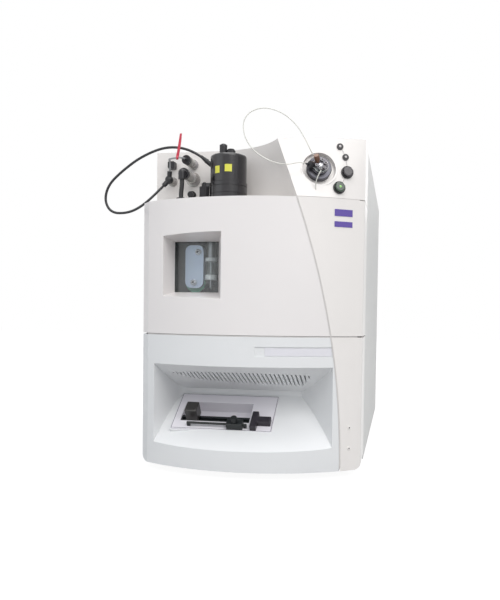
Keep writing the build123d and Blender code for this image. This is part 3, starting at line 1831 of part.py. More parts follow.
with BuildPart() as connector_caps:
    add(connector_ends.part)
    add(gas_port.part)
    add(hose_elbow.part)
connector_caps.part.label = "connector_caps"
export_step(connector_caps.part, "parts/connector_caps.step")

clip_rise = 72.0
clip_size = 12.0

with BuildPart() as cable_fixings:
    with BuildSketch(Plane(origin=gland_end, z_dir=gland_aim)):
        Circle(gland_radius)
    extrude(amount=-3 * gland_radius)
    add(upright(probe_x, probe_y, ring_z, probe_z - probe_edge, probe_radius), mode=Mode.SUBTRACT)
    with BuildSketch(Plane.XZ.offset(-recess_y)):
        with Locations((corner_connector_x, shelf_z + clip_rise)):
            RectangleRounded(clip_size, clip_size, clip_size / 5)
    extrude(amount=clip_size)

with BuildPart() as probe_hardware:
    add(probe_fittings.part)
    add(cable_fixings.part)
probe_hardware.part.label = "probe_hardware"
export_step(probe_hardware.part, "parts/probe_hardware.step")

# ---------------------------------------------------------------- vacuum system
manifold_left = 68.0 - half
manifold_right = half - 88.0
manifold_back = rear_y - 52.0
manifold_low = waist_z + 30.0
manifold_high = shelf_z - 31.0
manifold_wall = 12.0
lid_thickness = 10.0
lid_bolt_radius = 4.0
lid_bolt_count = 6
cradle_thickness = 12.0
cradle_front_inset = 80.0
cradle_rear_inset = 98.5
pump_offset = 19.25
turbo_radius = 60.0
turbo_flange_radius = 72.0
turbo_flange = 12.0
turbo_height = 140.0
turbo_low = manifold_low - turbo_height
manifold_front = bulkhead_y + plate
manifold_x = (manifold_left + manifold_right) / 2
manifold_width = manifold_right - manifold_left
manifold_length = manifold_back - manifold_front
manifold_middle = (manifold_front + manifold_back) / 2
pump_x = manifold_x
pump_y = manifold_middle + pump_offset

lid_bolt_pitch = (manifold_length - manifold_wall) / (lid_bolt_count - 1)

with BuildPart() as vacuum_manifold:
    with BuildSketch(Plane.XY.offset(manifold_low)):
        with Locations((manifold_x, manifold_middle)):
            RectangleRounded(manifold_width, manifold_length, manifold_wall)
    extrude(amount=manifold_high - manifold_low)
    with BuildSketch(Plane.XY.offset(manifold_low + manifold_wall)):
        with Locations((manifold_x, manifold_middle)):
            RectangleRounded(
                manifold_width - 2 * manifold_wall,
                manifold_length - 2 * manifold_wall,
                manifold_wall / 2,
            )
    extrude(amount=manifold_high - manifold_low, mode=Mode.SUBTRACT)
    add(
        upright(
            pump_x,
            pump_y,
            manifold_low - 1,
            manifold_low + 2 * manifold_wall,
            turbo_radius - manifold_wall,
        ),
        mode=Mode.SUBTRACT,
    )

with BuildPart() as manifold_lid:
    with BuildSketch(Plane.XY.offset(manifold_high)):
        with Locations((manifold_x, manifold_middle)):
            RectangleRounded(manifold_width, manifold_length, manifold_wall)
    extrude(amount=lid_thickness)
    with BuildSketch(Plane.XY.offset(manifold_high + lid_thickness)):
        with Locations((manifold_x, manifold_middle)):
            with GridLocations(manifold_width - manifold_wall, lid_bolt_pitch, 2, lid_bolt_count):
                Circle(lid_bolt_radius)
    extrude(amount=lid_bolt_radius)

with BuildPart() as manifold_box:
    add(vacuum_manifold.part)
    add(manifold_lid.part)
manifold_box.part.label = "manifold_box"
export_step(manifold_box.part, "parts/manifold_box.step")

rod_size = 7.0
rod_spread = 9.0
holder_size = 54.0
holder_thickness = 10.0
rod_front_gap = 60.0
spare_length = 218.5
rod_length = (manifold_length - spare_length) / 2
axis_z = (manifold_low + manifold_high) / 2
rod_front = manifold_front + rod_front_gap
rod_back = rod_front + rod_length
cell_length = 110.0
cell_size = 80.0
floor_z = manifold_low + manifold_wall

with BuildPart() as rod_holders:
    for at_y in (rod_front + holder_thickness, rod_back - holder_thickness):
        with BuildSketch(Plane.XZ.offset(-at_y)):
            with Locations((manifold_x, axis_z)):
                Rectangle(holder_size, holder_size)
                Circle(rod_spread, mode=Mode.SUBTRACT)
                with GridLocations(2 * rod_spread, 2 * rod_spread, 2, 2):
                    Circle(rod_size, mode=Mode.SUBTRACT)
            with Locations((manifold_x, (floor_z + axis_z - holder_size / 2) / 2)):
                Rectangle(holder_size / 2, axis_z - holder_size / 2 - floor_z)
        extrude(amount=holder_thickness / 2, both=True)

with BuildPart() as quadrupole_rods:
    with BuildSketch(Plane.XZ.offset(-rod_front)):
        with Locations((manifold_x, axis_z)):
            with GridLocations(2 * rod_spread, 2 * rod_spread, 2, 2):
                Circle(rod_size)
    extrude(amount=-rod_length)

with BuildPart() as quadrupole:
    add(rod_holders.part)
    add(quadrupole_rods.part)
quadrupole.part.label = "quadrupole"
export_step(quadrupole.part, "parts/quadrupole.step")

cell_front = rod_back + holder_thickness

with BuildPart() as collision_cell:
    with BuildSketch(Plane.XY.offset(floor_z)):
        with Locations((manifold_x, cell_front + cell_length / 2)):
            Rectangle(cell_size, cell_length)
    extrude(amount=axis_z + cell_size / 2 - floor_z)
    with BuildSketch(Plane.XZ.offset(-cell_front)):
        with Locations((manifold_x, axis_z)):
            Circle(rod_spread)
    extrude(amount=-cell_length, mode=Mode.SUBTRACT)
collision_cell.part.label = "collision_cell"
export_step(collision_cell.part, "parts/collision_cell.step")

detector_length = 90.0
detector_front = cell_front + cell_length + rod_length / 4

with BuildPart() as detector:
    with BuildSketch(Plane.XY.offset(floor_z)):
        with Locations((manifold_x, detector_front + detector_length / 2)):
            Rectangle(holder_size, detector_length)
    extrude(amount=axis_z - floor_z)
    with BuildSketch(Plane.XZ.offset(-detector_front)):
        with Locations((manifold_x, axis_z)):
            Circle(holder_size / 3)
    extrude(amount=-detector_length)
detector.part.label = "detector"
export_step(detector.part, "parts/detector.step")

with BuildPart() as turbo_pump:
    add(upright(pump_x, pump_y, manifold_low - turbo_flange, manifold_low, turbo_flange_radius))
    add(upright(pump_x, pump_y, turbo_low, manifold_low - turbo_flange, turbo_radius))
    with BuildSketch(Plane.XY.offset(turbo_low)):
        with Locations((pump_x, pump_y)):
            Rectangle(2 * turbo_radius, turbo_radius)
    extrude(amount=turbo_flange * 3)
turbo_pump.part.label = "turbo_pump"
export_step(turbo_pump.part, "parts/turbo_pump.step")

with BuildPart() as manifold_cradle:
    for setback in (cradle_front_inset, manifold_length - cradle_rear_inset):
        with BuildSketch(Plane.XZ.offset(-manifold_front - setback)):
            with Locations((manifold_x, (tray_top + manifold_low) / 2)):
                Rectangle(manifold_width, manifold_low - tray_top)
                Rectangle(
                    manifold_width - 4 * cradle_thickness,
                    manifold_low - tray_top - 4 * cradle_thickness,
                    mode=Mode.SUBTRACT,
                )
        extrude(amount=-cradle_thickness)
manifold_cradle.part.label = "manifold_cradle"
export_step(manifold_cradle.part, "parts/manifold_cradle.step")

# ---------------------------------------------------------------- electronics
supply_width = 56.0
supply_height = 150.0
supply_front = bulkhead_y + 140.5
supply_back = rear_y - 142.0
supply_x = half - 40.0
board_x = 28.0 - half
board_front = bulkhead_y + 70.5
board_back = rear_y - 172.0
board_height = 230.0
board_thickness = 2.0
chip_count = 5
chip_size = 34.0

with BuildPart() as power_supply:
    with BuildSketch(Plane.XY.offset(tray_top)):
        with Locations((supply_x, (supply_front + supply_back) / 2)):
            Rectangle(supply_width, supply_back - supply_front)
    extrude(amount=supply_height)
    chamfer(power_supply.edges().group_by(Axis.Z)[-1], length=board_thickness)
power_supply.part.label = "power_supply"
export_step(power_supply.part, "parts/power_supply.step")

with BuildPart() as control_board:
    with BuildSketch(Plane.YZ.offset(board_x)):
        with Locations(((board_front + board_back) / 2, tray_top + board_height / 2)):
            Rectangle(board_back - board_front, board_height)
    extrude(amount=board_thickness)

with BuildPart() as board_chips:
    with BuildSketch(Plane.YZ.offset(board_x + board_thickness)):
        with Locations(((board_front + board_back) / 2, tray_top + board_height / 2)):
            with GridLocations(2 * chip_size, 2 * chip_size, chip_count, 2):
                Rectangle(chip_size, chip_size)
    extrude(amount=3 * board_thickness)

with BuildPart() as main_board:
    add(control_board.part)
    add(board_chips.part)
main_board.part.label = "main_board"
export_step(main_board.part, "parts/main_board.step")

# ---------------------------------------------------------------- rear fan, inlet and vacuum port
fan_z = skirt_z + fan_rise
fan_size = 118.0
fan_depth = 25.0
fan_hub_radius = 21.0
fan_blade_count = 7
blade_thickness = 3.0
blade_tip_gap = 1.5
hub_depth = 16.0
strut_width = 6.0
strut_depth = 5.0
strut_count = 4
strut_lap = 2.0
blade_pitch = 35.0
guard_wire = 1.3
guard_ring_count = 5
guard_cap_radius = 10.5
guard_pitch = (fan_bore_radius - guard_cap_radius) / guard_ring_count
fan_corner = 8.0
motor_gap = 0.4

with BuildPart() as fan_frame:
    with BuildSketch(Plane.XZ.offset(-rear_inner_y)):
        with Locations((fan_x, fan_z)):
            RectangleRounded(fan_size, fan_size, fan_corner)
            Circle(fan_bore_radius, mode=Mode.SUBTRACT)
    extrude(amount=fan_depth)
    with BuildSketch(Plane.XZ.offset(-rear_inner_y + fan_depth - strut_depth)):
        with Locations((fan_x, fan_z)):
            Circle(fan_hub_radius)
            with PolarLocations(0, strut_count, 45):
                with Locations(((fan_bore_radius + strut_lap) / 2, 0)):
                    Rectangle(fan_bore_radius + strut_lap, strut_width)
    extrude(amount=strut_depth)
fan_frame.part.label = "fan_frame"
export_step(fan_frame.part, "parts/fan_frame.step")

rotor_front_y = rear_inner_y - fan_depth + strut_depth + motor_gap

with BuildPart() as fan_rotor:
    with BuildSketch(Plane.XZ.offset(-rotor_front_y)):
        with Locations((fan_x, fan_z)):
            Circle(fan_hub_radius)
    extrude(amount=-hub_depth)
    with BuildPart(mode=Mode.PRIVATE) as blade:
        with BuildSketch(Plane.YZ):
            with Locations(Location((0, 0, 0), blade_pitch)):
                RectangleRounded(hub_depth * 1.1, blade_thickness, blade_thickness / 3)
        extrude(amount=fan_bore_radius - blade_tip_gap)
        with BuildSketch(Plane.YZ):
            Rectangle(3 * hub_depth, 3 * hub_depth)
        extrude(amount=fan_hub_radius / 2, mode=Mode.SUBTRACT)
    for index in range(fan_blade_count):
        add(
            blade.part.rotate(Axis.Y, 360 / fan_blade_count * index).moved(
                Location((fan_x, rotor_front_y + hub_depth / 2, fan_z))
            )
        )
fan_rotor.part.label = "fan_rotor"
export_step(fan_rotor.part, "parts/fan_rotor.step")

with BuildPart() as fan_grille:
    with BuildSketch(Plane.XZ.offset(-rear_y)):
        with Locations((fan_x, fan_z)):
            for ring in range(guard_ring_count, 0, -1):
                Circle(guard_cap_radius + ring * guard_pitch + guard_wire)
                Circle(guard_cap_radius + ring * guard_pitch - guard_wire, mode=Mode.SUBTRACT)
            Circle(guard_cap_radius)
    extrude(amount=-2 * guard_wire)
    with BuildSketch(Plane.XZ.offset(-rear_y)):
        with Locations((fan_x, fan_z)):
            with PolarLocations(0, strut_count, 45):
                with Locations((fan_bore_radius / 2 + strut_lap, 0)):
                    Rectangle(fan_bore_radius + 2 * strut_lap, 2 * guard_wire)
    extrude(amount=-2 * guard_wire)
fan_grille.part.label = "fan_grille"
export_step(fan_grille.part, "parts/fan_grille.step")

inlet_z = skirt_z + inlet_rise
inlet_flange = 4.0
inlet_flange_depth = 3.0
inlet_depth = 24.0
socket_width = 24.0
socket_height = 17.0
socket_depth = 16.0
pin_length = 12.0
pin_width = 2.0
pin_height = 4.0
pin_pitch = 14.0

with BuildPart() as mains_inlet:
    with BuildSketch(Plane.XZ.offset(-rear_y)):
        with Locations((inlet_x, inlet_z)):
            RectangleRounded(
                inlet_width + 2 * inlet_flange, inlet_height + 2 * inlet_flange, inlet_flange
            )
    extrude(amount=-inlet_flange_depth)
    with BuildSketch(Plane.XZ.offset(-rear_y)):
        with Locations((inlet_x, inlet_z)):
            Rectangle(inlet_width, inlet_height)
    extrude(amount=inlet_depth)
    with BuildSketch(Plane.XZ.offset(-rear_y - inlet_flange_depth)):
        with Locations((inlet_x, inlet_z)):
            RectangleRounded(socket_width, socket_height, inlet_flange / 2)
    extrude(amount=socket_depth, mode=Mode.SUBTRACT)

with BuildPart() as inlet_pins:
    with BuildSketch(Plane.XZ.offset(-rear_y - inlet_flange_depth + socket_depth)):
        with Locations((inlet_x, inlet_z + pin_height / 8)):
            Rectangle(pin_width, pin_height)
        with Locations((inlet_x, inlet_z - pin_height * 7 / 8)):
            with GridLocations(pin_pitch, 0, 2, 1):
                Rectangle(pin_width, pin_height)
    extrude(amount=-pin_length)

with BuildPart() as power_inlet:
    add(mains_inlet.part)
    add(inlet_pins.part)
power_inlet.part.label = "power_inlet"
export_step(power_inlet.part, "parts/power_inlet.step")

port_z = skirt_z + port_rise
port_flange_radius = 20.0
port_flange_thickness = 6.0
port_bore_radius = 12.0
port_inner_length = 30.0
port_reach = total_depth / 2

with BuildPart() as vacuum_port:
    add(forward(port_x, port_z, port_reach, rear_inner_y - port_inner_length, port_neck_radius))
    add(forward(port_x, port_z, port_reach, port_reach - port_flange_thickness, port_flange_radius))
    add(
        forward(port_x, port_z, port_reach + 1, rear_inner_y - port_inner_length / 2, port_bore_radius),
        mode=Mode.SUBTRACT,
    )
vacuum_port.part.label = "vacuum_port"
export_step(vacuum_port.part, "parts/vacuum_port.step")
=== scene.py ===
"""Benchtop mass spectrometer: finishes, cords, small fittings and a plain studio."""

import json
import math

import bmesh
import bpy
from mathutils import Matrix, Vector
from mathutils.bvhtree import BVHTree

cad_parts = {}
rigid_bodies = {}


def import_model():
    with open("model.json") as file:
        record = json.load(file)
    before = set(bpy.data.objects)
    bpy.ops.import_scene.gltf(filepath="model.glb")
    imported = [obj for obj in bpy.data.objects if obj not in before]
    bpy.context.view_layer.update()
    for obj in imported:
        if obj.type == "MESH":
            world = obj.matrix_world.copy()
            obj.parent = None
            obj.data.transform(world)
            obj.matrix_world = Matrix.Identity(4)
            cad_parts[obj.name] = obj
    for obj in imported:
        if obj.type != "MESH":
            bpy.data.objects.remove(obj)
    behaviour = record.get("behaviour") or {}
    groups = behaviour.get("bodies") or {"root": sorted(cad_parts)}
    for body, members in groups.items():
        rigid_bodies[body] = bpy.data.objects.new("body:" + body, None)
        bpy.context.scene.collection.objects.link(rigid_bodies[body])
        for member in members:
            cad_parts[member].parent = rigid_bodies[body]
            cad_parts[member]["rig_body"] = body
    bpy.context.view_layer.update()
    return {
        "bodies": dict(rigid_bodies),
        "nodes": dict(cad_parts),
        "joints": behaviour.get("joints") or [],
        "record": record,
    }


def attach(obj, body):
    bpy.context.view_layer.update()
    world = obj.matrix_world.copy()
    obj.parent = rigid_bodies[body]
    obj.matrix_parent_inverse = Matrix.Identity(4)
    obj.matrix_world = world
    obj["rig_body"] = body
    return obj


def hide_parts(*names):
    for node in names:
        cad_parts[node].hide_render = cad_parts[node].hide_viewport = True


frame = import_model()
scene = bpy.context.scene
scene.view_settings.view_transform = "Standard"
MM = 0.001

# ---------------------------------------------------------------- camera
CAMERA_PLACE = (0.2313, -1.4159, 0.2557)
CAMERA_YAW = math.radians(10.97)
CAMERA_PITCH = math.radians(1.86)
CAMERA_ROLL = math.radians(-0.77)
FOCAL_PIXELS = 684.0
IMAGE_SIZE = (500, 600)
OPTICAL_CENTRE = (265.0, 335.0)
SENSOR = 36.0


def camera_axes(yaw, pitch, roll):
    """Right, down and forward directions of the camera."""
    forward = Vector(
        (-math.sin(yaw) * math.cos(pitch), math.cos(yaw) * math.cos(pitch), -math.sin(pitch))
    )
    level = Vector((math.cos(yaw), math.sin(yaw), 0))
    below = forward.cross(level)
    right = level * math.cos(roll) + below * math.sin(roll)
    down = below * math.cos(roll) - level * math.sin(roll)
    return right, down, forward


def make_camera():
    right, down, forward = camera_axes(CAMERA_YAW, CAMERA_PITCH, CAMERA_ROLL)
    data = bpy.data.cameras.new("studio_camera")
    camera = bpy.data.objects.new("studio_camera", data)
    scene.collection.objects.link(camera)
    long_side = max(IMAGE_SIZE)
    data.sensor_width = SENSOR
    data.lens = FOCAL_PIXELS / long_side * SENSOR
    data.shift_x = (IMAGE_SIZE[0] / 2 - OPTICAL_CENTRE[0]) / long_side
    data.shift_y = (OPTICAL_CENTRE[1] - IMAGE_SIZE[1] / 2) / long_side
    turn = Matrix((right, -down, -forward)).transposed()
    camera.matrix_world = Matrix.Translation(CAMERA_PLACE) @ turn.to_4x4()
    scene.camera = camera


make_camera()

# ---------------------------------------------------------------- colours and shared effects


def tone(red, green, blue):
    """Linear colour from ordinary 0-255 screen values."""
    linear = []
    for part in (red, green, blue):
        share = part / 255
        linear.append(share / 12.92 if share <= 0.04045 else ((share + 0.055) / 1.055) ** 2.4)
    return (*linear, 1.0)


def new_group(name, inputs, outputs):
    """An empty shader group with the given sockets, and its two end nodes."""
    group = bpy.data.node_groups.new(name, "ShaderNodeTree")
    for label, kind, value in inputs:
        socket = group.interface.new_socket(label, in_out="INPUT", socket_type=kind)
        if value is not None:
            socket.default_value = value
    for label, kind in outputs:
        group.interface.new_socket(label, in_out="OUTPUT", socket_type=kind)
    start = group.nodes.new("NodeGroupInput")
    end = group.nodes.new("NodeGroupOutput")
    return group, start, end


def link(group, pairs):
    for source, target in pairs:
        group.links.new(source, target)


def math_node(group, operation, first, second):
    node = group.nodes.new("ShaderNodeMath")
    node.operation = operation
    for index, value in enumerate((first, second)):
        if isinstance(value, (int, float)):
            node.inputs[index].default_value = value
        else:
            group.links.new(value, node.inputs[index])
    return node.outputs[0]


def make_surface_group():
    """Fine grain, faint mottling and smudges for painted and moulded skins."""
    group, start, end = new_group(
        "fine_surface",
        [
            ("Place", "NodeSocketVector", None),
            ("Colour", "NodeSocketColor", (0.8, 0.8, 0.8, 1)),
            ("Roughness", "NodeSocketFloat", 0.5),
            ("Grain Size", "NodeSocketFloat", 900.0),
            ("Grain Height", "NodeSocketFloat", 0.00004),
            ("Mottle", "NodeSocketFloat", 0.03),
        ],
        [
            ("Colour", "NodeSocketColor"),
            ("Roughness", "NodeSocketFloat"),
            ("Normal", "NodeSocketVector"),
        ],
    )
    grain = group.nodes.new("ShaderNodeTexNoise")
    grain.inputs["Detail"].default_value = 2
    cloud = group.nodes.new("ShaderNodeTexNoise")
    cloud.inputs["Scale"].default_value = 9
    cloud.inputs["Detail"].default_value = 4
    smudge = group.nodes.new("ShaderNodeTexNoise")
    smudge.inputs["Scale"].default_value = 38
    smudge.inputs["Detail"].default_value = 5
    bump = group.nodes.new("ShaderNodeBump")
    bump.inputs["Strength"].default_value = 1
    shade = group.nodes.new("ShaderNodeMix")
    shade.data_type = "RGBA"
    shade.blend_type = "MULTIPLY"
    shade.inputs["Factor"].default_value = 1
    level = group.nodes.new("ShaderNodeCombineColor")
    spread = math_node(group, "SUBTRACT", cloud.outputs["Fac"], 0.5)
    spread = math_node(group, "MULTIPLY", spread, start.outputs["Mottle"])
    spread = math_node(group, "MULTIPLY_ADD", spread, 2.0)
    group.nodes[-1].inputs[2].default_value = 1.0
    rough = math_node(group, "SUBTRACT", smudge.outputs["Fac"], 0.5)
    rough = math_node(group, "MULTIPLY", rough, 0.22)
    rough = math_node(group, "ADD", rough, start.outputs["Roughness"])
    link(
        group,
        [
            (start.outputs["Place"], grain.inputs["Vector"]),
            (start.outputs["Place"], cloud.inputs["Vector"]),
            (start.outputs["Place"], smudge.inputs["Vector"]),
            (start.outputs["Grain Size"], grain.inputs["Scale"]),
            (grain.outputs["Fac"], bump.inputs["Height"]),
            (start.outputs["Grain Height"], bump.inputs["Distance"]),
            (spread, level.inputs[0]),
            (spread, level.inputs[1]),
            (spread, level.inputs[2]),
            (start.outputs["Colour"], shade.inputs["A"]),
            (level.outputs[0], shade.inputs["B"]),
            (shade.outputs["Result"], end.inputs["Colour"]),
            (rough, end.inputs["Roughness"]),
            (bump.outputs["Normal"], end.inputs["Normal"]),
        ],
    )
    return group


def make_brush_group():
    """Fine streaks along one direction for turned, brushed and machined metal."""
    group, start, end = new_group(
        "brush_marks",
        [
            ("Place", "NodeSocketVector", None),
            ("Stretch", "NodeSocketVector", (1, 1, 40)),
            ("Colour", "NodeSocketColor", (0.6, 0.6, 0.6, 1)),
            ("Roughness", "NodeSocketFloat", 0.3),
            ("Depth", "NodeSocketFloat", 0.00002),
        ],
        [
            ("Colour", "NodeSocketColor"),
            ("Roughness", "NodeSocketFloat"),
            ("Normal", "NodeSocketVector"),
        ],
    )
    stretch = group.nodes.new("ShaderNodeVectorMath")
    stretch.operation = "MULTIPLY"
    streak = group.nodes.new("ShaderNodeTexNoise")
    streak.inputs["Scale"].default_value = 60
    streak.inputs["Detail"].default_value = 3
    bump = group.nodes.new("ShaderNodeBump")
    shade = group.nodes.new("ShaderNodeMix")
    shade.data_type = "RGBA"
    shade.blend_type = "MULTIPLY"
    shade.inputs["Factor"].default_value = 0.25
    rough = math_node(group, "MULTIPLY", streak.outputs["Fac"], 0.2)
    rough = math_node(group, "ADD", rough, start.outputs["Roughness"])
    link(
        group,
        [
            (start.outputs["Place"], stretch.inputs[0]),
            (start.outputs["Stretch"], stretch.inputs[1]),
            (stretch.outputs[0], streak.inputs["Vector"]),
            (streak.outputs["Fac"], bump.inputs["Height"]),
            (start.outputs["Depth"], bump.inputs["Distance"]),
            (start.outputs["Colour"], shade.inputs["A"]),
            (streak.outputs["Color"], shade.inputs["B"]),
            (shade.outputs["Result"], end.inputs["Colour"]),
            (rough, end.inputs["Roughness"]),
            (bump.outputs["Normal"], end.inputs["Normal"]),
        ],
    )
    return group


fine_surface = make_surface_group()
brush_marks = make_brush_group()


def new_material(name):
    material = bpy.data.materials.new(name)
    material.use_nodes = True
    tree = material.node_tree
    shader = tree.nodes["Principled BSDF"]
    place = tree.nodes.new("ShaderNodeTexCoord")
    return material, tree, shader, place.outputs["Object"]


def use_group(tree, shader, group, place, values):
    node = tree.nodes.new("ShaderNodeGroup")
    node.node_tree = group
    tree.links.new(place, node.inputs["Place"])
    for label, value in values.items():
        node.inputs[label].default_value = value
    tree.links.new(node.outputs["Colour"], shader.inputs["Base Color"])
    tree.links.new(node.outputs["Roughness"], shader.inputs["Roughness"])
    tree.links.new(node.outputs["Normal"], shader.inputs["Normal"])
    return node


def moulded(name, colour, roughness=0.42, grain=900.0, height=0.00004, mottle=0.03, coat=0.0):
    """Paint, moulded plastic, rubber or ceramic."""
    material, tree, shader, place = new_material(name)
    use_group(
        tree,
        shader,
        fine_surface,
        place,
        {
            "Colour": colour,
            "Roughness": roughness,
            "Grain Size": grain,
            "Grain Height": height,
            "Mottle": mottle,
        },
    )
    shader.inputs["Coat Weight"].default_value = coat
    shader.inputs["Coat Roughness"].default_value = 0.12
    return material


def metal(name, colour, roughness=0.25, stretch=(1, 1, 40), depth=0.00002):
    """Bare or plated metal with directional marks."""
    material, tree, shader, place = new_material(name)
    use_group(
        tree,
        shader,
        brush_marks,
        place,
        {"Colour": colour, "Roughness": roughness, "Stretch": stretch, "Depth": depth},
    )
    shader.inputs["Metallic"].default_value = 1
    return material


def clear_glass(name, colour, roughness, transmission):
    material, tree, shader, place = new_material(name)
    shader.inputs["Base Color"].default_value = colour
    shader.inputs["Transmission Weight"].default_value = transmission
    shader.inputs["IOR"].default_value = 1.45
    shader.inputs["Specular IOR Level"].default_value = 0.12
    smears = tree.nodes.new("ShaderNodeTexNoise")
    smears.inputs["Scale"].default_value = 26
    smears.inputs["Detail"].default_value = 5
    film = math_node(tree, "MULTIPLY", smears.outputs["Fac"], 2 * roughness)
    tree.links.new(place, smears.inputs["Vector"])
    tree.links.new(film, shader.inputs["Roughness"])
    paths = tree.nodes.new("ShaderNodeLightPath")
    passing = tree.nodes.new("ShaderNodeBsdfTransparent")
    mix = tree.nodes.new("ShaderNodeMixShader")
    out = next(node for node in tree.nodes if node.type == "OUTPUT_MATERIAL")
    link(
        tree,
        [
            (paths.outputs["Is Shadow Ray"], mix.inputs["Fac"]),
            (shader.outputs[0], mix.inputs[1]),
            (passing.outputs[0], mix.inputs[2]),
            (mix.outputs[0], out.inputs["Surface"]),
        ],
    )
    return material


MATERIALS = {
    "door_white": moulded("door_white", tone(235, 231, 230), 0.36, coat=0.12),
    "column_white": moulded("column_white", tone(236, 232, 229), 0.36, coat=0.12),
    "panel_grey": moulded("panel_grey", tone(230, 231, 232), 0.45, height=0.00006),
    "case_paint": moulded("case_paint", tone(214, 214, 212), 0.5, grain=1600, height=0.00005),
    "chassis_steel": metal("chassis_steel", tone(176, 178, 180), 0.4, (20, 1, 20)),
    "aluminium": metal("aluminium", tone(186, 196, 216), 0.3, (30, 1, 2)),
    "steel": metal("steel", tone(168, 168, 172), 0.24),
    "chrome": metal("chrome", tone(196, 196, 202), 0.14, (1, 1, 60), 0.00001),
    "probe_black": moulded("probe_black", tone(26, 24, 28), 0.24, 1400, 0.00002, 0.12, 0.35),
    "dark_plastic": moulded("dark_plastic", tone(26, 25, 30), 0.36, 1200, 0.00004, 0.1),
    "clamp_purple": moulded("clamp_purple", tone(38, 34, 42), 0.42, 1200, 0.00004, 0.08),
    "rail_dark": moulded("rail_dark", tone(24, 28, 30), 0.34, 1200, 0.00003, 0.1),
    "pusher_dark": moulded("pusher_dark", tone(42, 40, 38), 0.34, 1200, 0.00003, 0.1, 0.2),
    "button_green": moulded("button_green", tone(40, 62, 46), 0.22, 800, 0.00001, 0.06, 0.5),
    "button_dark": moulded("button_dark", tone(38, 32, 40), 0.26, 800, 0.00001, 0.06, 0.4),
    "lamp_clear": moulded("lamp_clear", tone(196, 190, 190), 0.2, 600, 0.00001, 0.05, 0.5),
    "rubber": moulded("rubber", tone(46, 46, 46), 0.75, 1500, 0.00008, 0.1),
    "plate_mauve": moulded("plate_mauve", tone(232, 229, 235), 0.22, 1400, 0.00001, 0.03, 0.5),
    "valve_green": moulded("valve_green", tone(96, 182, 150), 0.35, 900, 0.00003, 0.05),
    "ceramic": moulded("ceramic", tone(240, 242, 244), 0.4, 1200, 0.00002, 0.04),
    "badge": moulded("badge", tone(92, 72, 160), 0.3, 700, 0.00001, 0.05, 0.4),
    "name_lilac": moulded("name_lilac", tone(226, 225, 231), 0.3, 700, 0.00001, 0.02, 0.3),
    "enclosure_dark": moulded("enclosure_dark", tone(34, 34, 38), 0.5, 900, 0.00004, 0.1),
    "board_green": moulded("board_green", tone(36, 96, 58), 0.35, 900, 0.00003, 0.15),
    "cable_black": moulded("cable_black", tone(30, 31, 35), 0.42, 1500, 0.00003, 0.1),
    "cable_grey": moulded("cable_grey", tone(150, 152, 154), 0.5, 1500, 0.00003, 0.08),
    "tube_white": moulded("tube_white", tone(214, 213, 206), 0.32, 1500, 0.00001, 0.03, 0.3),
    "braid": moulded("braid", tone(34, 34, 36), 0.5, 2600, 0.0003, 0.2),
    "label_yellow": moulded("label_yellow", tone(214, 212, 78), 0.4, 700, 0.00001, 0.04),
    "nickel": metal("nickel", tone(186, 184, 182), 0.3, (1, 40, 1), 0.00002),
    "port_metal": metal("port_metal", tone(136, 134, 138), 0.42, (1, 40, 1), 0.00002),
    # Bright green of the key lens is painted highlight of the start button.
    "lens_green": moulded("lens_green", tone(146, 206, 116), 0.2, 600, 0.00001, 0.05, 0.5),
    "valve_steel": metal("valve_steel", tone(98, 98, 104), 0.36, (1, 40, 1), 0.00003),
    # Painted shadow colour for the crescent round the injection valve.
    "teal_dark": moulded("teal_dark", tone(24, 52, 56), 0.3, 900, 0.00002, 0.1, 0.3),
    "outline_grey": moulded("outline_grey", tone(118, 116, 126), 0.4, 900, 0.00001, 0.03),
    "seam_lip": moulded("seam_lip", tone(216, 212, 210), 0.5, 900, 0.00003, 0.03),
    "print_grey": moulded("print_grey", tone(196, 194, 194), 0.4, 900, 0.00001, 0.03),
    "tie_red": moulded("tie_red", tone(196, 58, 78), 0.4, 900, 0.00002, 0.05),
    "nut_brown": moulded("nut_brown", tone(134, 100, 82), 0.35, 900, 0.00002, 0.06),
    "glass": clear_glass("glass", tone(244, 249, 250), 0.02, 0.95),
}

# ---------------------------------------------------------------- CAD skins with softened edges
SHARP = math.radians(32)
CREASE = math.radians(17)
FLAT = math.radians(0.3)


def own_body(node):
    return frame["nodes"][node]["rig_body"]


def clean_mesh(mesh, sharp):
    """Joins loose triangles, merges flat faces and marks the sharp edges."""
    if "custom_normal" in mesh.attributes:
        mesh.attributes.remove(mesh.attributes["custom_normal"])
    work = bmesh.new()
    work.from_mesh(mesh)
    bmesh.ops.remove_doubles(work, verts=work.verts, dist=0.000004)
    bmesh.ops.dissolve_limit(work, angle_limit=FLAT, verts=work.verts, edges=work.edges)
    for face in work.faces:
        face.smooth = True
    for edge in work.edges:
        edge.smooth = len(edge.link_faces) == 2 and edge.calc_face_angle(0) < sharp
    work.to_mesh(mesh)
    work.free()


def dressed(node, material, soft=0.0004, zones=(), sharp=SHARP):
    """A finished copy of a CAD node with softened edges; zones repaint parts of it."""
    mesh = frame["nodes"][node].data.copy()
    mesh.name = node + "_skin"
    clean_mesh(mesh, sharp)
    piece = bpy.data.objects.new(node + "_skin", mesh)
    scene.collection.objects.link(piece)
    mesh.materials.clear()
    mesh.materials.append(MATERIALS[material])
    for index, (other, chosen) in enumerate(zones):
        mesh.materials.append(MATERIALS[other])
        for face in mesh.polygons:
            if chosen(face.center):
                face.material_index = index + 1
    if soft:
        bevel = piece.modifiers.new("soft_edges", "BEVEL")
        bevel.width = soft
        bevel.segments = 2
        bevel.limit_method = "ANGLE"
        bevel.angle_limit = sharp
        bevel.use_clamp_overlap = True
    weight = piece.modifiers.new("even_shading", "WEIGHTED_NORMAL")
    weight.keep_sharp = True
    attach(piece, own_body(node))
    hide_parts(node)
    return piece


SLOT_OF = {entry["node"]: entry["material_slot"] for entry in frame["record"]["subparts"]}

NAME_STRIP_TOP = 0.22

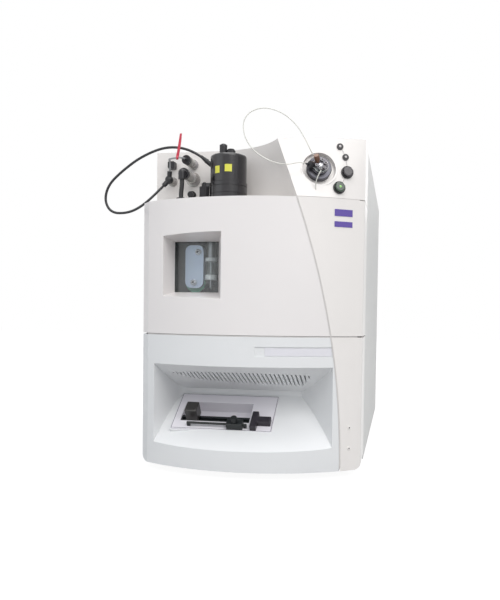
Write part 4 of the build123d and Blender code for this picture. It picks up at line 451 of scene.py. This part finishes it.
dressed("upper_door", "door_white", 0.0012, sharp=CREASE)
dressed("lower_panel", "panel_grey", 0.0008, sharp=CREASE)
dressed("right_column", "column_white", 0.0012)
dressed("tower_moulding", "column_white", 0.0010)
dressed("side_panels", "case_paint", 0.0003)
dressed("top_cover", "case_paint", 0.0003)
dressed("rear_panel", "case_paint", 0.0002)
dressed("rubber_feet", "rubber", 0.0008)
dressed("label_plates", "badge", 0.0001, [("name_lilac", lambda at: at.z < NAME_STRIP_TOP)])
dressed("pump_bed", "plate_mauve", 0.0003)
dressed("pump_rails", "rail_dark", 0.0004)
dressed("pusher", "pusher_dark", 0.0004)
dressed("stop_collar", "rail_dark", 0.0006)
dressed("thumbscrew", "rail_dark", 0.0004)
dressed("syringe_clamp", "clamp_purple", 0.0006)
dressed("source_enclosure", "enclosure_dark", 0.0004)
dressed("source_window", "glass", 0.0002)
dressed("ion_source_block", "aluminium", 0.0006)
dressed("isolation_valve", "valve_green", 0.0005)
dressed("spray_probe", "steel", 0.0003)
dressed("heater_collars", "ceramic", 0.0005)
dressed("heater_glass", "glass", 0.0002)
dressed("probe_stand", "probe_black", 0.0006)
dressed("probe_body", "probe_black", 0.0006)
dressed("probe_knob", "dark_plastic", 0.0004)
dressed("probe_hardware", "dark_plastic", 0.0004)
dressed("adjuster_knob", "dark_plastic", 0.0003)
dressed("panel_connectors", "nickel", 0.0004)
dressed("connector_caps", "dark_plastic", 0.0004)
plug_boot = dressed("plug_boot", "cable_black", 0.0004)
dressed("braided_hose", "braid", 0)
red_tie = dressed("cable_tie", "tie_red", 0.0002)
dressed("valve_set", "valve_steel", 0.0004)
dressed("valve_face", "valve_steel", 0.0003)
dressed("finger_nuts", "dark_plastic", 0.0003, [("nut_brown", lambda at: at.z > 0.4835)])
dressed("button_bezels", "dark_plastic", 0.0003)
dressed("stop_button", "button_dark", 0.0003)
dressed("start_button", "button_green", 0.0003)
dressed("lamp_set", "dark_plastic", 0.0003, [("column_white", lambda at: at.z < NAME_STRIP_TOP)])
dressed("fan_frame", "dark_plastic", 0.0004)
dressed("fan_rotor", "dark_plastic", 0.0003)
dressed("fan_grille", "steel", 0.0004)
dressed("power_inlet", "dark_plastic", 0.0004)
dressed("vacuum_port", "aluminium", 0.0005)
for inner in (
    "chassis",
    "hinge_set",
    "door_catch",
    "door_strike",
    "manifold_box",
    "quadrupole",
    "collision_cell",
    "detector",
    "turbo_pump",
    "manifold_cradle",
    "power_supply",
    "main_board",
):
    dressed(inner, SLOT_OF[inner], 0.0003)

# ---------------------------------------------------------------- front sizes of the case
HALF = 0.178
FRONT_Y = -0.4096
BOW_RADIUS = 0.2996
BOW_X = -0.016
BOW_Y = FRONT_Y + BOW_RADIUS
SEAM_RADIUS = 1.270
SEAM_X = -1.123
SKIRT_Z = 0.012
SEAM_Z = SKIRT_Z + 0.008
WAIST_Z = 0.220
SHELF_Z = 0.431
CREASE_X = -HALF + 0.015


def front_at(x):
    return BOW_Y - math.sqrt(BOW_RADIUS**2 - (x - BOW_X) ** 2)


def seam_at(z):
    return SEAM_X + math.sqrt(SEAM_RADIUS**2 - (z - SEAM_Z) ** 2)


def add_piece(name, verts, faces, materials, body="housing"):
    """A finished mesh piece at the origin, with its faces pointing outwards."""
    mesh = bpy.data.meshes.new(name)
    mesh.from_pydata(verts, [], faces)
    for label in materials:
        mesh.materials.append(MATERIALS[label])
    work = bmesh.new()
    work.from_mesh(mesh)
    bmesh.ops.remove_doubles(work, verts=work.verts, dist=0.000001)
    bmesh.ops.recalc_face_normals(work, faces=work.faces)
    for face in work.faces:
        face.smooth = True
    for edge in work.edges:
        edge.smooth = len(edge.link_faces) == 2 and edge.calc_face_angle(0) < SHARP
    work.to_mesh(mesh)
    work.free()
    piece = bpy.data.objects.new(name, mesh)
    scene.collection.objects.link(piece)
    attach(piece, body)
    return piece


def band(rows):
    """Faces of a closed loop of cross-sections with equal point counts, ends capped."""
    count = len(rows[0])
    verts = [point for row in rows for point in row]
    faces = []
    for step in range(len(rows) - 1):
        for index in range(count):
            after = (index + 1) % count
            base = step * count
            faces.append((base + index, base + after, base + count + after, base + count + index))
    faces.append(tuple(range(count)))
    faces.append(tuple((len(rows) - 1) * count + index for index in reversed(range(count))))
    return verts, faces


def lathe(frame, profile, sides=32):
    """A turned form on a frame (origin, side, up, out); profile is (radius, height) pairs."""
    origin, side, up, out = frame
    rows = []
    for radius, height in profile:
        row = []
        for index in range(sides):
            angle = 2 * math.pi * index / sides
            across, along = math.cos(angle) * radius, math.sin(angle) * radius
            row.append(origin + side * across + up * along + out * height)
        rows.append(row)
    return band(rows)


def join(parts):
    """Several (verts, faces) lists as one."""
    verts, faces = [], []
    for points, polygons in parts:
        base = len(verts)
        verts.extend(points)
        faces.extend(tuple(index + base for index in polygon) for polygon in polygons)
    return verts, faces


def frame_on(origin, normal):
    out = Vector(normal).normalized()
    side = Vector((0, 0, 1)).cross(out).normalized()
    return Vector(origin), side, out.cross(side), out


def on_frame(frame, x, y, z=0.0):
    origin, side, up, out = frame
    return origin + side * x + up * y + out * z


def turned(name, parts, material, body="housing"):
    """One piece made of several (verts, faces) forms."""
    verts, faces = join(parts)
    return add_piece(name, verts, faces, [material], body)


# ---- light lips behind the open seams between the front mouldings
LIP_DEPTH = 0.0006
LIP_BACK = 0.002
LIP_HALF = 0.0008
LIP_END = HALF - 0.008


def seam_lip():
    rows = []
    for step in range(41):
        z = SKIRT_Z + 0.004 + (SHELF_Z - SKIRT_Z - 0.0035) * step / 40
        x = seam_at(z)
        near = front_at(x) + LIP_DEPTH
        rows.append(
            [
                (x - LIP_HALF, front_at(x - LIP_HALF) + LIP_DEPTH, z),
                (x + LIP_HALF, front_at(x + LIP_HALF) + LIP_DEPTH, z),
                (x + LIP_HALF, near + LIP_BACK, z),
                (x - LIP_HALF, near + LIP_BACK, z),
            ]
        )
    return band(rows)


def level_lip(start, steps, low, high):
    """A lip that follows the bow at one height, from a start x to the right-hand side."""
    rows = []
    for step in range(steps + 1):
        x = start + (LIP_END - start) * step / steps
        near = front_at(x) + LIP_DEPTH
        back = near + LIP_BACK
        rows.append([(x, near, low), (x, near, high), (x, back, high), (x, back, low)])
    return band(rows)


WAIST_LIP = level_lip(CREASE_X, 48, WAIST_Z - LIP_HALF, WAIST_Z + 0.0004)
SHELF_LIP = level_lip(seam_at(SHELF_Z) - 0.0006, 24, SHELF_Z - 0.0001, SHELF_Z + 0.0011)

turned("seam_lip", [seam_lip()], "seam_lip")
turned("waist_lip", [WAIST_LIP], "seam_lip")

# ---- blank printed labels round the probe
PROBE_Y = -0.330
PROBE_AXIS = Vector((-0.043, PROBE_Y, 0))
PROBE_RADIUS = 0.0293


def wrapped_label(left, right, low, high, radius, thickness=0.0004):
    """A thin label that wraps an upright cylinder, between two x places."""
    start = math.acos((right - PROBE_AXIS.x) / radius)
    end = math.acos((left - PROBE_AXIS.x) / radius)
    rows = []
    for step in range(9):
        angle = start + (end - start) * step / 8
        ray = Vector((math.cos(angle), -math.sin(angle), 0))
        inner = PROBE_AXIS + ray * (radius - 0.0002)
        outer = PROBE_AXIS + ray * (radius + thickness)
        rows.append(
            [
                (outer.x, outer.y, low),
                (outer.x, outer.y, high),
                (inner.x, inner.y, high),
                (inner.x, inner.y, low),
            ]
        )
    return band(rows)


turned(
    "probe_labels",
    [
        wrapped_label(-0.0584, -0.0507, 0.4766, 0.4880, PROBE_RADIUS),
        wrapped_label(-0.0419, -0.0310, 0.4785, 0.4900, PROBE_RADIUS),
    ],
    "label_yellow",
)

# ---- lamp centres, key lens with a painted green highlight, and small lights
START_FRAME = frame_on((0.139, -0.362725, 0.4477), (0.46439, -0.86479, 0.19098))
VALVE_FRAME = frame_on((0.109, -0.368024, 0.477), (0.29539, -0.92105, 0.25378))


def dome(frame, radius, low, rise, sides=20):
    steps = [(radius, low)]
    for step in range(1, 6):
        angle = math.pi / 2 * step / 6
        steps.append((radius * math.cos(angle), low + rise * math.sin(angle)))
    steps.append((radius * 0.02, low + rise))
    return lathe(frame, steps, sides)


TOWER_FOOT_Z = 0.432
TOWER_HEAD_Z = 0.526
HEAD_RADIUS = 0.405
HEAD_X = 0.030
HEAD_Y = 0.0410


def tower_line(x):
    """Foot and head of the tower's leaning face at one x."""
    head_y = HEAD_Y - math.sqrt(HEAD_RADIUS**2 - (x - HEAD_X) ** 2)
    return Vector((x, front_at(x), TOWER_FOOT_Z)), Vector((x, head_y, TOWER_HEAD_Z))


def lamp_frame(x, z):
    """Frame on the tower's leaning face near the lamps."""
    foot, head = tower_line(x)
    share = (z - foot.z) / (head.z - foot.z)
    origin = foot.lerp(head, share)
    beside_foot, beside_head = tower_line(x + 0.001)
    along = beside_foot.lerp(beside_head, share) - origin
    return frame_on(origin, along.cross(head - foot))


LAMP_PLACES = ((0.1386, 0.5128), (0.1473, 0.4965))
LAMP_FRAMES = [lamp_frame(*place) for place in LAMP_PLACES]
turned(
    "lamp_centres",
    [dome(frame, 0.0019, 0.0021, 0.0008) for frame in LAMP_FRAMES],
    "lamp_clear",
)
# The lens dome is real; its bright green is painted highlight of the start button.
turned(
    "key_lens",
    [dome(START_FRAME, 0.0022, 0.0068, 0.0009)],
    "lens_green",
    "start_key",
)
LED_FRAMES = [
    frame_on((0.160, front_at(0.160), SKIRT_Z + rise), (0.176, front_at(0.160) - BOW_Y, 0))
    for rise in (0.067, 0.035)
]
turned(
    "column_light_centres",
    [dome(frame, 0.0011, 0.0011, 0.0005, 12) for frame in LED_FRAMES],
    "dark_plastic",
)

turned("shelf_lip", [SHELF_LIP], "seam_lip")

# ---- where small pieces rest on the case


def touch(node, start, direction):
    """First point of a CAD node's surface met from a start point."""
    mesh = frame["nodes"][node].data
    tree = BVHTree.FromPolygons(
        [vertex.co for vertex in mesh.vertices], [face.vertices for face in mesh.polygons]
    )
    return tree.ray_cast(Vector(start), Vector(direction))[0]


# ---- repeated small forms, made with geometry nodes


def geometry_group(name, inputs):
    group = bpy.data.node_groups.new(name, "GeometryNodeTree")
    group.interface.new_socket("Geometry", in_out="INPUT", socket_type="NodeSocketGeometry")
    for label, kind in inputs:
        group.interface.new_socket(label, in_out="INPUT", socket_type=kind)
    group.interface.new_socket("Geometry", in_out="OUTPUT", socket_type="NodeSocketGeometry")
    start = group.nodes.new("NodeGroupInput")
    real = group.nodes.new("GeometryNodeRealizeInstances")
    finish = group.nodes.new("GeometryNodeSetMaterial")
    place = group.nodes.new("GeometryNodeInstanceOnPoints")
    end = group.nodes.new("NodeGroupOutput")
    link(
        group,
        [
            (place.outputs["Instances"], real.inputs["Geometry"]),
            (real.outputs["Geometry"], finish.inputs["Geometry"]),
            (start.outputs["Finish"], finish.inputs["Material"]),
            (finish.outputs["Geometry"], end.inputs["Geometry"]),
        ],
    )
    return group, start, place


def make_knurl_group():
    group, start, place = geometry_group(
        "knurled_ring",
        [
            ("Ribs", "NodeSocketInt"),
            ("Ring Radius", "NodeSocketFloat"),
            ("Rib Radius", "NodeSocketFloat"),
            ("Rib Length", "NodeSocketFloat"),
            ("Finish", "NodeSocketMaterial"),
        ],
    )
    ring = group.nodes.new("GeometryNodeMeshCircle")
    rib = group.nodes.new("GeometryNodeMeshCone")
    rib.inputs["Vertices"].default_value = 8
    link(
        group,
        [
            (start.outputs["Ribs"], ring.inputs["Vertices"]),
            (start.outputs["Ring Radius"], ring.inputs["Radius"]),
            (start.outputs["Rib Radius"], rib.inputs["Radius Bottom"]),
            (start.outputs["Rib Radius"], rib.inputs["Radius Top"]),
            (start.outputs["Rib Length"], rib.inputs["Depth"]),
            (ring.outputs["Mesh"], place.inputs["Points"]),
            (rib.outputs["Mesh"], place.inputs["Instance"]),
        ],
    )
    return group


def make_stud_group():
    group, start, place = geometry_group(
        "raised_studs",
        [
            ("Sides", "NodeSocketInt"),
            ("Foot Radius", "NodeSocketFloat"),
            ("Top Radius", "NodeSocketFloat"),
            ("Height", "NodeSocketFloat"),
            ("Finish", "NodeSocketMaterial"),
        ],
    )
    stud = group.nodes.new("GeometryNodeMeshCone")
    link(
        group,
        [
            (start.outputs["Sides"], stud.inputs["Vertices"]),
            (start.outputs["Foot Radius"], stud.inputs["Radius Bottom"]),
            (start.outputs["Top Radius"], stud.inputs["Radius Top"]),
            (start.outputs["Height"], stud.inputs["Depth"]),
            (start.outputs["Geometry"], place.inputs["Points"]),
            (stud.outputs["Mesh"], place.inputs["Instance"]),
        ],
    )
    return group


KNURL_GROUP = make_knurl_group()
STUD_GROUP = make_stud_group()


def grown(name, group, values, base, points=()):
    """Evaluates a geometry group and gives its plain mesh as vertices and faces on a frame."""
    mesh = bpy.data.meshes.new(name + "_points")
    mesh.from_pydata([(x, y, 0) for x, y in points], [], [])
    holder = bpy.data.objects.new(name + "_holder", mesh)
    scene.collection.objects.link(holder)
    modifier = holder.modifiers.new("grown", "NODES")
    modifier.node_group = group
    for item in group.interface.items_tree:
        if item.in_out == "INPUT" and item.name in values:
            modifier[item.identifier] = values[item.name]
    graph = bpy.context.evaluated_depsgraph_get()
    plain = bpy.data.meshes.new_from_object(holder.evaluated_get(graph), depsgraph=graph)
    holder.modifiers.remove(modifier)
    verts = [on_frame(base, *vertex.co) for vertex in plain.vertices]
    faces = [tuple(face.vertices) for face in plain.polygons]
    bpy.data.objects.remove(holder)
    bpy.data.meshes.remove(mesh)
    bpy.data.meshes.remove(plain)
    return verts, faces


def knurl(name, base, ribs, radius, thickness, length, material):
    values = {
        "Ribs": ribs,
        "Ring Radius": radius,
        "Rib Radius": thickness,
        "Rib Length": length,
        "Finish": MATERIALS[material],
    }
    return grown(name, KNURL_GROUP, values, base)


def studs(name, base, points, sides, foot, top, height, material):
    values = {
        "Sides": sides,
        "Foot Radius": foot,
        "Top Radius": top,
        "Height": height,
        "Finish": MATERIALS[material],
    }
    return grown(name, STUD_GROUP, values, base, points)


# ---- screws of the rear panel
REAR_Y = 0.382
REAR_FRAME = (Vector((0, REAR_Y, 0)), Vector((-1, 0, 0)), Vector((0, 0, 1)), Vector((0, 1, 0)))
REAR_COLUMNS = (-0.170, 0.170)
REAR_ROWS = (0.024, 0.146, 0.268, 0.390, 0.512)
REAR_POINTS = [(-x, z) for x in REAR_COLUMNS for z in REAR_ROWS]
turned(
    "rear_screws",
    [studs("rear_screws", REAR_FRAME, REAR_POINTS, 20, 0.0032, 0.0024, 0.0018, "steel")],
    "steel",
)
turned(
    "rear_screw_sockets",
    [studs("rear_sockets", REAR_FRAME, REAR_POINTS, 6, 0.0013, 0.0012, 0.0019, "dark_plastic")],
    "dark_plastic",
)

# ---- injection valve: port nuts, rim and a painted shadow crescent
VALVE_TOP = touch(
    "valve_face",
    VALVE_FRAME[0] + VALVE_FRAME[3] * 0.03 + VALVE_FRAME[1] * 0.009,
    -VALVE_FRAME[3],
)
VALVE_LIFT = (VALVE_TOP - VALVE_FRAME[0]).dot(VALVE_FRAME[3]) if VALVE_TOP else 0.002
VALVE_BASE = (on_frame(VALVE_FRAME, 0, 0, VALVE_LIFT), *VALVE_FRAME[1:])
PORT_RING = 0.0074
PORT_POINTS = [
    (PORT_RING * math.cos(math.radians(angle)), PORT_RING * math.sin(math.radians(angle)))
    for angle in (15, 75, 195, 255, 315)
]


def on_valve(x, y, z=0.0):
    return (on_frame(VALVE_BASE, x, y, z), *VALVE_BASE[1:])


turned(
    "port_nuts",
    [studs("port_nuts", VALVE_BASE, PORT_POINTS, 6, 0.0027, 0.0025, 0.0060, "port_metal")]
    + [
        lathe(on_valve(x, y), [(0.0033, 0.0), (0.0033, 0.0009), (0.0024, 0.0012)], 18)
        for x, y in PORT_POINTS
    ],
    "port_metal",
)
# Dark discs in the port nuts are painted shade standing for the open holes of the ports.
turned(
    "port_bores",
    [
        lathe(on_valve(x, y), [(0.0014, 0.0), (0.0014, 0.0061), (0.0004, 0.0062)], 14)
        for x, y in PORT_POINTS
    ],
    "dark_plastic",
)
turned(
    "rotor_cap",
    [
        lathe(
            on_valve(0, 0),
            [(0.0034, 0.0), (0.0034, 0.0016), (0.0026, 0.0022), (0.0026, 0.0030), (0.0010, 0.0034)],
            24,
        ),
        knurl("rotor_cap_ribs", on_valve(0, 0, 0.0008), 26, 0.0034, 0.00022, 0.0014, "chrome"),
    ],
    "chrome",
)
turned(
    "valve_rim_ribs",
    [knurl("valve_rim", on_valve(0, 0, 0.0002), 60, 0.0117, 0.0003, 0.0014, "nickel")],
    "nickel",
)


# A dark crescent round the valve's lower left is painted shadow of the valve rim, not a part of the
# valve.
def shadow_crescent():
    rows = []
    for step in range(25):
        angle = math.radians(168 + 150 * step / 24)
        ray = VALVE_BASE[1] * math.cos(angle) + VALVE_BASE[2] * math.sin(angle)
        swell = math.sin(math.pi * step / 24)
        inner = 0.0112 - 0.0022 * swell
        origin = VALVE_BASE[0]
        rows.append(
            [
                origin + ray * inner + VALVE_BASE[3] * 0.0001,
                origin + ray * inner + VALVE_BASE[3] * 0.0018,
                origin + ray * 0.0114 + VALVE_BASE[3] * 0.0014,
                origin + ray * 0.0116 + VALVE_BASE[3] * 0.0001,
            ]
        )
    return band(rows)


turned("valve_shield", [shadow_crescent()], "teal_dark")

# ---- thumb screws of the ion source block
BLOCK_SCREW = (-0.0915, 0.3535)
HANDLE_SCREW = (-0.099, 0.304)
HANDLE_BODY = own_body("isolation_valve")
BLOCK_FRONT = -0.3324


def thumb_screw(x, z):
    base = frame_on((x, BLOCK_FRONT, z), (0, -1, 0))
    head = lathe(
        base,
        [
            (0.0052, -0.0003),
            (0.0052, 0.0012),
            (0.0040, 0.0016),
            (0.0040, 0.0050),
            (0.0034, 0.0056),
            (0.0004, 0.0057),
        ],
        28,
    )
    middle = (on_frame(base, 0, 0, 0.0018), *base[1:])
    return [head, knurl("thumb_ribs", middle, 28, 0.0040, 0.0003, 0.0030, "chrome")]


# A dark disc at the top of each thumb screw is painted shade of the socket in its head.
def screw_hole_shade(x, z):
    base = frame_on((x, BLOCK_FRONT, z), (0, -1, 0))
    return lathe(base, [(0.0021, 0.0040), (0.0021, 0.0058), (0.0006, 0.0059)], 18)


turned("block_screw", thumb_screw(*BLOCK_SCREW), "chrome")
turned("block_screw_bore", [screw_hole_shade(*BLOCK_SCREW)], "dark_plastic")
turned("handle_screw", thumb_screw(*HANDLE_SCREW), "chrome", body=HANDLE_BODY)
turned("handle_screw_bore", [screw_hole_shade(*HANDLE_SCREW)], "dark_plastic", body=HANDLE_BODY)

# ---- second knob of the probe and the grips of both
UP_FRAME_AXES = (Vector((1, 0, 0)), Vector((0, 1, 0)), Vector((0, 0, 1)))
PROBE_TOP = 0.509
PURGE_X = -0.0394
KNOB_X = -0.052


def upright(x, y, z):
    return (Vector((x, y, z)), *UP_FRAME_AXES)


PURGE_GRIP = upright(PURGE_X, PROBE_Y, PROBE_TOP + 0.0032)
turned(
    "purge_knob",
    [
        lathe(
            upright(PURGE_X, PROBE_Y, PROBE_TOP - 0.0005),
            [
                (0.0052, 0.0),
                (0.0052, 0.0030),
                (0.0058, 0.0034),
                (0.0058, 0.0106),
                (0.0050, 0.0114),
                (0.0012, 0.0116),
            ],
            28,
        ),
        knurl("purge_ribs", PURGE_GRIP, 30, 0.0058, 0.0004, 0.0066, "dark_plastic"),
    ],
    "dark_plastic",
)
KNOB_FOOT = upright(KNOB_X, PROBE_Y, 0.5150)
turned(
    "probe_knob_ribs",
    [knurl("probe_knob_ribs", KNOB_FOOT, 26, 0.0060, 0.0002, 0.0120, "dark_plastic")],
    "dark_plastic",
    body=own_body("probe_knob"),
)

turned(
    "purge_collar",
    [
        lathe(
            upright(PURGE_X, PROBE_Y, PROBE_TOP - 0.0003),
            [(0.0056, 0.0), (0.0060, 0.0005), (0.0060, 0.0021), (0.0056, 0.0026)],
            28,
        )
    ],
    "nickel",
)

# ---- strap of the cable tie


def tie_strap():
    foot, head = Vector((-0.1212, -0.3569, 0.5040)), Vector((-0.1154, -0.3569, 0.5410))
    rows = []
    for step in range(9):
        share = step / 8
        middle = foot.lerp(head, share) + Vector((0.0006 * math.sin(math.pi * share), 0, 0))
        half = 0.0022 - 0.0008 * share**2
        rows.append(
            [
                middle + Vector((-half, -0.0006, 0)),
                middle + Vector((half, -0.0006, 0)),
                middle + Vector((half, 0.0006, 0)),
                middle + Vector((-half, 0.0006, 0)),
            ]
        )
    return band(rows)


tie_tail = turned("tie_strap", [tie_strap()], "tie_red", body=own_body("cable_tie"))

# ---- dark edge line of the syringe plate
PLATE_AXES = (Vector((1, 0, 0)), Vector((0, 0.82413, 0.56641)), Vector((0, -0.56641, 0.82413)))
PLATE_FRAME = (Vector((-0.04225, -0.335, 0.093)), *PLATE_AXES)
PLATE_LEFT, PLATE_RIGHT, PLATE_HALF = -0.125 + 0.04225, 0.0405 + 0.04225, 0.042
LINE_WIDTH = 0.0008


def plate_line(x0, y0, x1, y1, lift):
    rows = []
    for x, y in ((x0, y0), (x1, y1)):
        across = Vector((y1 - y0, x0 - x1)).normalized() * LINE_WIDTH / 2
        rows.append(
            [
                on_frame(PLATE_FRAME, x - across.x, y - across.y, lift - 0.0003),
                on_frame(PLATE_FRAME, x + across.x, y + across.y, lift - 0.0003),
                on_frame(PLATE_FRAME, x + across.x, y + across.y, lift + 0.00012),
                on_frame(PLATE_FRAME, x - across.x, y - across.y, lift + 0.00012),
            ]
        )
    return band(rows)


plate_spot = touch("pump_bed", on_frame(PLATE_FRAME, 0.079, 0.038, 0.02), -PLATE_AXES[2])
PLATE_LIFT = (plate_spot - PLATE_FRAME[0]).dot(PLATE_AXES[2]) if plate_spot else 0.0
left, right, rim = PLATE_LEFT + 0.0012, PLATE_RIGHT - 0.0012, PLATE_HALF - 0.0012
turned(
    "plate_edge_line",
    [
        plate_line(left, -rim, right, -rim, PLATE_LIFT),
        plate_line(right, -rim, right, rim, PLATE_LIFT),
        plate_line(right, rim, left, rim, PLATE_LIFT),
        plate_line(left, rim, left, -rim, PLATE_LIFT),
    ],
    "outline_grey",
)

# ---- thin printed arcs between the rounds of the tower
ROUNDS = (*LAMP_PLACES, (0.150, 0.4727), (0.139, 0.4477))
ARC_SHARES = ((0.34, 0.66), (0.22, 0.64), (0.36, 0.64))


def printed_arc(first, last, share_from, share_to):
    rows = []
    along = Vector((last[0] - first[0], last[1] - first[1])).normalized()
    for step in range(7):
        share = share_from + (share_to - share_from) * step / 6
        x = first[0] + (last[0] - first[0]) * share + 0.0012 * math.sin(math.pi * share)
        z = first[1] + (last[1] - first[1]) * share
        base = lamp_frame(x, z)
        row = []
        for side, lift in ((-1, -0.0003), (1, -0.0003), (1, 0.0001), (-1, 0.0001)):
            row.append(on_frame(base, -along.y * side * 0.0003, along.x * side * 0.0003, lift))
        rows.append(row)
    return band(rows)


turned(
    "printed_arcs",
    [
        printed_arc(ROUNDS[index], ROUNDS[index + 1], *ARC_SHARES[index])
        for index in range(len(ARC_SHARES))
    ],
    "print_grey",
)

# ---------------------------------------------------------------- cords
HV_ROUTE = [
    (-79.0, -331.6, 501.0),
    (-100.3, -332.7, 519.1),
    (-143, -338, 527),
    (-187, -341, 511),
    (-222, -343, 486),
    (-245, -344, 464),
    (-251, -345, 438),
    (-239, -345, 418),
    (-213, -344, 417),
    (-193, -338, 426),
    (-172, -329, 446),
    (-157.0, -319.9, 465.6),
]
GREY_ROUTE = [
    (-113, -337, 504),
    (-113, -354, 504),
    (-131, -360, 501),
    (-141, -343, 503),
    (-144, -324, 506),
    (-146.8, -319.0, 489.3),
]
LOOP_ROUTE = [
    (93.2, -384.1, 480.4),
    (85.0, -395.0, 482.5),
    (62, -398, 477),
    (36, -398, 484),
    (9, -396, 502),
    (-6, -394, 530),
    (-3, -392, 556),
    (22, -390, 568),
    (52, -389, 560),
    (76, -389, 540),
    (91, -390, 515),
    (98.0, -387.0, 500.0),
    (101.0, -381.0, 495.0),
]
DRAIN_ROUTE = [
    (112.3, -375.5, 470.8),
    (114.9, -383.8, 473.0),
    (110.0, -388.0, 463.0),
    (105.0, -384.0, 450.0),
    (106.0, -378.0, 441.0),
]


def strain_relief(route, foot, tip, length):
    """A tapered, grooved sleeve round a cord where it leaves its housing."""
    start = Vector([value * MM for value in route[0]])
    base = frame_on(start, Vector([value * MM for value in route[1]]) - start)
    profile = [(foot, -0.0006), (foot, 0.0006)]
    for groove in range(4):
        share = (groove + 1) / 5
        radius = foot + (tip - foot) * share
        height = 0.0006 + (length - 0.0006) * share
        profile += [
            (radius * 1.04, height - length * 0.07),
            (radius * 0.9, height - length * 0.03),
            (radius * 0.9, height + length * 0.03),
        ]
    profile += [(tip, length)]
    return lathe(base, profile, 24)


hv_relief = turned("hv_relief", [strain_relief(HV_ROUTE, 0.0040, 0.0024, 0.013)], "cable_black")
grey_relief = turned(
    "grey_relief",
    [strain_relief(GREY_ROUTE, 0.0026, 0.0016, 0.007)],
    "cable_black",
)
loop_relief = turned(
    "loop_relief",
    [strain_relief(LOOP_ROUTE, 0.0017, 0.0010, 0.005)],
    "dark_plastic",
)
drain_relief = turned(
    "drain_relief",
    [strain_relief(DRAIN_ROUTE, 0.0016, 0.0010, 0.004)],
    "dark_plastic",
)


def cord(name, node, route, diameter, material):
    data = bpy.data.curves.new(name, "CURVE")
    data.dimensions = "3D"
    spline = data.splines.new("NURBS")
    spline.points.add(len(route) - 1)
    for point, place in zip(spline.points, route):
        point.co = (*(value * MM for value in place), 1)
    spline.order_u = 3
    spline.use_endpoint_u = True
    spline.resolution_u = 12
    data.bevel_depth = diameter / 2
    data.bevel_resolution = 4
    data.use_fill_caps = True
    data.materials.append(MATERIALS[material])
    piece = bpy.data.objects.new(name, data)
    scene.collection.objects.link(piece)
    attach(piece, "housing")
    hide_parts(node)
    return piece


cord(
    "hv_lead",
    "hv_cable",
    HV_ROUTE,
    0.0042,
    "cable_black",
)
cord(
    "grey_lead",
    "grey_cable",
    GREY_ROUTE,
    0.0028,
    "cable_grey",
)
cord(
    "sample_line",
    "sample_loop",
    LOOP_ROUTE,
    0.0016,
    "tube_white",
)
cord(
    "drain_line",
    "drain_tube",
    DRAIN_ROUTE,
    0.0016,
    "tube_white",
)

# ---------------------------------------------------------------- studio


def area_light(name, place, target, size, power, colour=(1, 1, 1)):
    data = bpy.data.lights.new(name, "AREA")
    data.shape = "DISK"
    data.size = size
    data.energy = power
    data.color = colour
    lamp = bpy.data.objects.new(name, data)
    scene.collection.objects.link(lamp)
    aim = Vector(target) - Vector(place)
    facing = aim.to_track_quat("-Z", "Y").to_matrix().to_4x4()
    lamp.matrix_world = Matrix.Translation(place) @ facing


area_light("key_light", (1.6, -2.6, 2.4), (0, -0.2, 0.3), 2.4, 54, (1.0, 0.985, 0.965))
area_light("fill_light", (-2.2, -2.4, 1.5), (0, -0.2, 0.3), 2.4, 7, (0.9, 0.96, 1.0))
area_light("top_light", (0.0, -0.4, 3.0), (0, -0.2, 0.3), 2.0, 30)
area_light("front_top_light", (-0.2, -1.8, 2.2), (0, -0.3, 0.2), 1.4, 8)
area_light("back_light", (0.4, 3.2, 2.0), (0, 0.2, 0.3), 2.4, 16)


def seen_rays(tree):
    """1 for rays that should see the plain background: camera, glossy and transmission."""
    paths = tree.nodes.new("ShaderNodeLightPath")
    first = math_node(
        tree, "MAXIMUM", paths.outputs["Is Camera Ray"], paths.outputs["Is Glossy Ray"]
    )
    return math_node(tree, "MAXIMUM", first, paths.outputs["Is Transmission Ray"])


def make_world():
    world = bpy.data.worlds.new("studio_world")
    scene.world = world
    world.use_nodes = True
    tree = world.node_tree
    tree.nodes.clear()
    light = tree.nodes.new("ShaderNodeBackground")
    light.inputs["Color"].default_value = (0.93, 0.96, 1.0, 1)
    light.inputs["Strength"].default_value = 0.58
    white = tree.nodes.new("ShaderNodeBackground")
    mix = tree.nodes.new("ShaderNodeMixShader")
    out = tree.nodes.new("ShaderNodeOutputWorld")
    white.inputs["Color"].default_value = (1, 1, 1, 1)
    link(
        tree,
        [
            (seen_rays(tree), mix.inputs["Fac"]),
            (light.outputs[0], mix.inputs[1]),
            (white.outputs[0], mix.inputs[2]),
            (mix.outputs[0], out.inputs["Surface"]),
        ],
    )


make_world()

FLOOR_HALF = 6.0
FLOOR_GLOW = 0.94


def make_floor():
    mesh = bpy.data.meshes.new("studio_floor")
    mesh.from_pydata(
        [
            (-FLOOR_HALF, -FLOOR_HALF, 0),
            (FLOOR_HALF, -FLOOR_HALF, 0),
            (FLOOR_HALF, FLOOR_HALF, 0),
            (-FLOOR_HALF, FLOOR_HALF, 0),
        ],
        [],
        [(0, 1, 2, 3)],
    )
    floor = bpy.data.objects.new("studio_floor", mesh)
    scene.collection.objects.link(floor)
    material = bpy.data.materials.new("studio_floor")
    material.use_nodes = True
    tree = material.node_tree
    tree.nodes.clear()
    plain = tree.nodes.new("ShaderNodeBsdfDiffuse")
    plain.inputs["Color"].default_value = (0.42, 0.42, 0.42, 1)
    faint = tree.nodes.new("ShaderNodeBsdfDiffuse")
    faint.inputs["Color"].default_value = (0.16, 0.16, 0.16, 1)
    glow = tree.nodes.new("ShaderNodeEmission")
    glow.inputs["Strength"].default_value = FLOOR_GLOW
    lifted = tree.nodes.new("ShaderNodeAddShader")
    mix = tree.nodes.new("ShaderNodeMixShader")
    out = tree.nodes.new("ShaderNodeOutputMaterial")
    link(
        tree,
        [
            (faint.outputs[0], lifted.inputs[0]),
            (glow.outputs[0], lifted.inputs[1]),
            (seen_rays(tree), mix.inputs["Fac"]),
            (plain.outputs[0], mix.inputs[1]),
            (lifted.outputs[0], mix.inputs[2]),
            (mix.outputs[0], out.inputs["Surface"]),
        ],
    )
    mesh.materials.append(material)


make_floor()
